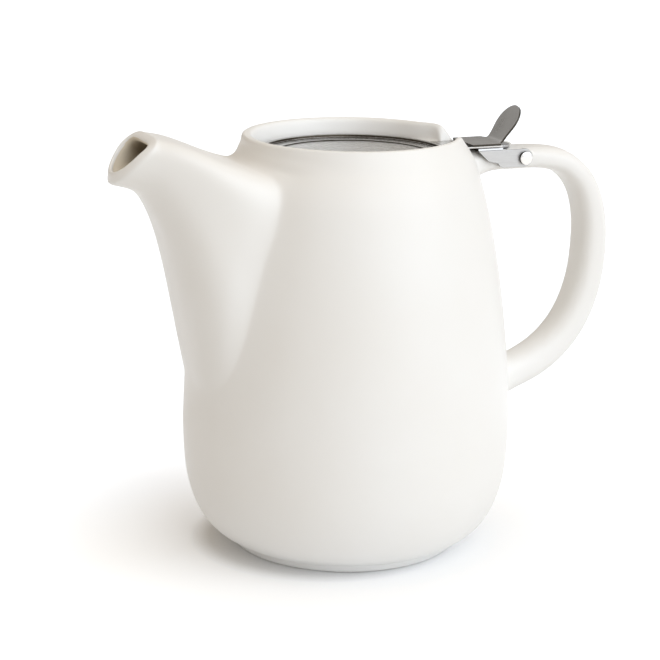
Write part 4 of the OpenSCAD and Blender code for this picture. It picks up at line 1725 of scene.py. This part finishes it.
@dataclass
class Studio:
    """Pale floor, soft light and the camera.

    A glow is listed by its low and high strength and the distances in metres that they lie at.
    """

    level_light: float = 0.04
    top_light: float = 0.94
    room_colour: Colour = (1.0, 0.87, 0.71, 1)
    floor_size: float = 12.0
    paper: tuple[Colour, Colour] = ((0.79, 0.795, 0.805, 1), (0.81, 0.815, 0.825, 1))
    paper_scale: float = 900
    paper_roughness: float = 0.9
    paper_specular: float = 0.1
    bounce: float = 0.13
    bounce_colour: Colour = (0.95, 1.0, 1.03, 1)
    back_glow: Glow = (0.17, 0.3, 0.005, 0.08)
    wide_glow: Glow = (0.02, 0.34, 0.055, 0.14)
    foot_shade: Glow = (0, 1, 0.042, 0.05)
    foot_middle: Triple = (-0.008, 0.002, 0)
    hue_range: Glow = (0, 1, 0.005, 0.07)
    hues: tuple[Colour, Colour] = ((0.97, 1, 1.03, 1), (0.91, 1, 1.12, 1))
    card_at: Triple = (0.0, 1.5, 0.55)
    card_size: Triple = (2.6, 0.8, 1)
    card_faces: Triple = (0, 0, 0.1)
    card_tone: float = 0.4
    card_colour: Colour = (1, 0.98, 0.95, 1)
    sun_way: Triple = (0.389, -0.732, 0.559)
    sun_power: float = 1.9
    sun_spread: float = 70
    sun_colour: Triple = (0.91, 1.0, 1.10)
    look_at: Triple = (0.0, 0.0, 75.0)
    aside: float = 6.14
    below: float = 3.62
    distance: float = 778.56
    azimuth: float = 22.0
    pitch: float = 14.6
    roll: float = 0.788
    focal: float = 115.88
    sensor: float = 36
    nearest: float = 0.01

    def floor(self) -> None:
        """Lays the floor: white paper with the pot's shadow, and a glow for the camera that is painted light
        and shade.
        """
        clear_bench()
        bpy.ops.mesh.primitive_plane_add(size=self.floor_size, location=(0, 0, 0))
        floor = bpy.context.object
        floor.name = "floor"
        w = Wiring("white_paper")
        at = w.place()
        w.surface(Base_Color=w.tint(w.cloud(at, self.paper_scale), *self.paper),
                  Roughness=self.paper_roughness, Specular_IOR_Level=self.paper_specular)
        lit = w.shader.outputs[0]
        back = w.axis(at, "Y")
        # Painted light: the glow grows towards the back and away from the pot, which pales the far part of
        # the cast shadow.
        glow = w.combine("ADD", w.spread(back, *self.back_glow), w.spread(w.length(at), *self.wide_glow))
        # Painted shadow: the glow falls to nothing round the foot, as a dark contact shadow.
        foot = w.spread(w.length(w.place(self.foot_middle)), *self.foot_shade)
        # The painted glow turns bluer towards the back, which cools the shadow there.
        hue = w.tint(w.spread(back, *self.hue_range), *self.hues)
        bounce = w.add("ShaderNodeEmission", Color=self.bounce_colour, Strength=self.bounce)
        white = w.add("ShaderNodeEmission", Color=hue, Strength=w.combine("MULTIPLY", glow, foot))
        under = w.add("ShaderNodeAddShader", _0=lit, _1=bounce.outputs[0])
        shown = w.add("ShaderNodeAddShader", _0=lit, _1=white.outputs[0])
        w.show_apart(under.outputs[0], shown.outputs[0])
        floor.data.materials.append(w.owner)

    def card(self) -> None:
        """Stands a grey card that faces the pot and shows only in the steel."""
        clear_bench()
        bpy.ops.mesh.primitive_plane_add(size=1, location=self.card_at)
        card = bpy.context.object
        card.name = "grey_card"
        card.scale = self.card_size
        way = Vector(self.card_faces) - Vector(self.card_at)
        card.rotation_euler = way.to_track_quat("Z", "Y").to_euler()
        w = Wiring(card.name)
        glow = w.add("ShaderNodeEmission", Color=self.card_colour, Strength=self.card_tone)
        w.links.new(glow.outputs[0], w.output)
        card.data.materials.append(w.owner)
        card.visible_camera = False
        card.visible_diffuse = False
        card.visible_shadow = False
        card.visible_transmission = False

    def sun(self) -> None:
        """Adds one wide soft lamp far away, like a window."""
        light = bpy.data.lights.new("window", "SUN")
        light.energy = self.sun_power
        light.angle = math.radians(self.sun_spread)
        light.color = self.sun_colour
        obj = bpy.data.objects.new("window", light)
        bpy.context.collection.objects.link(obj)
        obj.rotation_euler = (-Vector(self.sun_way)).to_track_quat("-Z", "Y").to_euler()

    def room(self) -> None:
        """Fills the room with warm light, most from above, that the camera and steel see as white."""
        w = Wiring("room", world=True)
        bpy.context.scene.world = w.owner
        w.surface(Color=(1, 1, 1, 1), Strength=1.0)
        height = w.axis(w.add("ShaderNodeTexCoord").outputs["Generated"], "Z")
        strength = w.spread(height, self.level_light, self.top_light, 0, 1)
        warm = w.add("ShaderNodeBackground", Color=self.room_colour, Strength=strength)
        w.show_apart(warm.outputs[0], w.shader.outputs[0])

    def camera(self) -> None:
        """Stands the camera where the photograph was taken."""
        a, p, roll = (math.radians(v) for v in (self.azimuth, self.pitch, self.roll))
        turn = Matrix(((math.cos(a), -math.sin(a), 0), (math.sin(a), math.cos(a), 0), (0, 0, 1)))
        down_look = Matrix(((1, 0, 0), (0, -math.sin(p), -math.cos(p)), (0, math.cos(p), -math.sin(p))))
        right, down, ahead = (Vector(row) for row in down_look @ turn)
        at = Vector(self.look_at) - right * self.aside - down * self.below - ahead * self.distance
        rolled_right = right * math.cos(roll) - down * math.sin(roll)
        rolled_down = right * math.sin(roll) + down * math.cos(roll)
        lens = bpy.data.cameras.new("camera")
        lens.lens = self.focal
        lens.sensor_width = self.sensor
        lens.clip_start = self.nearest
        obj = bpy.data.objects.new("camera", lens)
        bpy.context.collection.objects.link(obj)
        axes = Matrix((rolled_right, -rolled_down, -ahead)).transposed().to_4x4()
        obj.matrix_world = Matrix.Translation(at * MM) @ axes
        bpy.context.scene.camera = obj

    def build(self) -> None:
        """Sets up the floor, the room, the card, the lamp and the camera."""
        self.floor()
        self.room()
        self.card()
        self.sun()
        self.camera()
        bpy.context.scene.view_settings.view_transform = "Standard"
        log.info("studio: floor, room, grey card, window light and camera")


def main() -> None:
    """Builds the teapot's pieces in order, then the studio."""
    logging.basicConfig(level=logging.INFO, format="%(name)s: %(message)s")
    lid = PanLid()
    shade = SHADED_STEEL.make()
    Casting().dress(SatinGlaze().make(), PassageGlaze().make())
    lid.dress(SpunSteel(folds=lid.folds()).make())
    ThumbLever().dress(LEVER_STEEL.make(), shade)
    HingeBracket().dress(BRACKET_STEEL.make(), shade)
    HingePin().dress(POLISHED_STEEL.make(), shade)
    CarriedNodes().dress(SpunSteel("basket_steel", roughness=0.3).make(), NATURAL_NYLON.make())
    Studio().build()


if __name__ == "__main__":
    main()
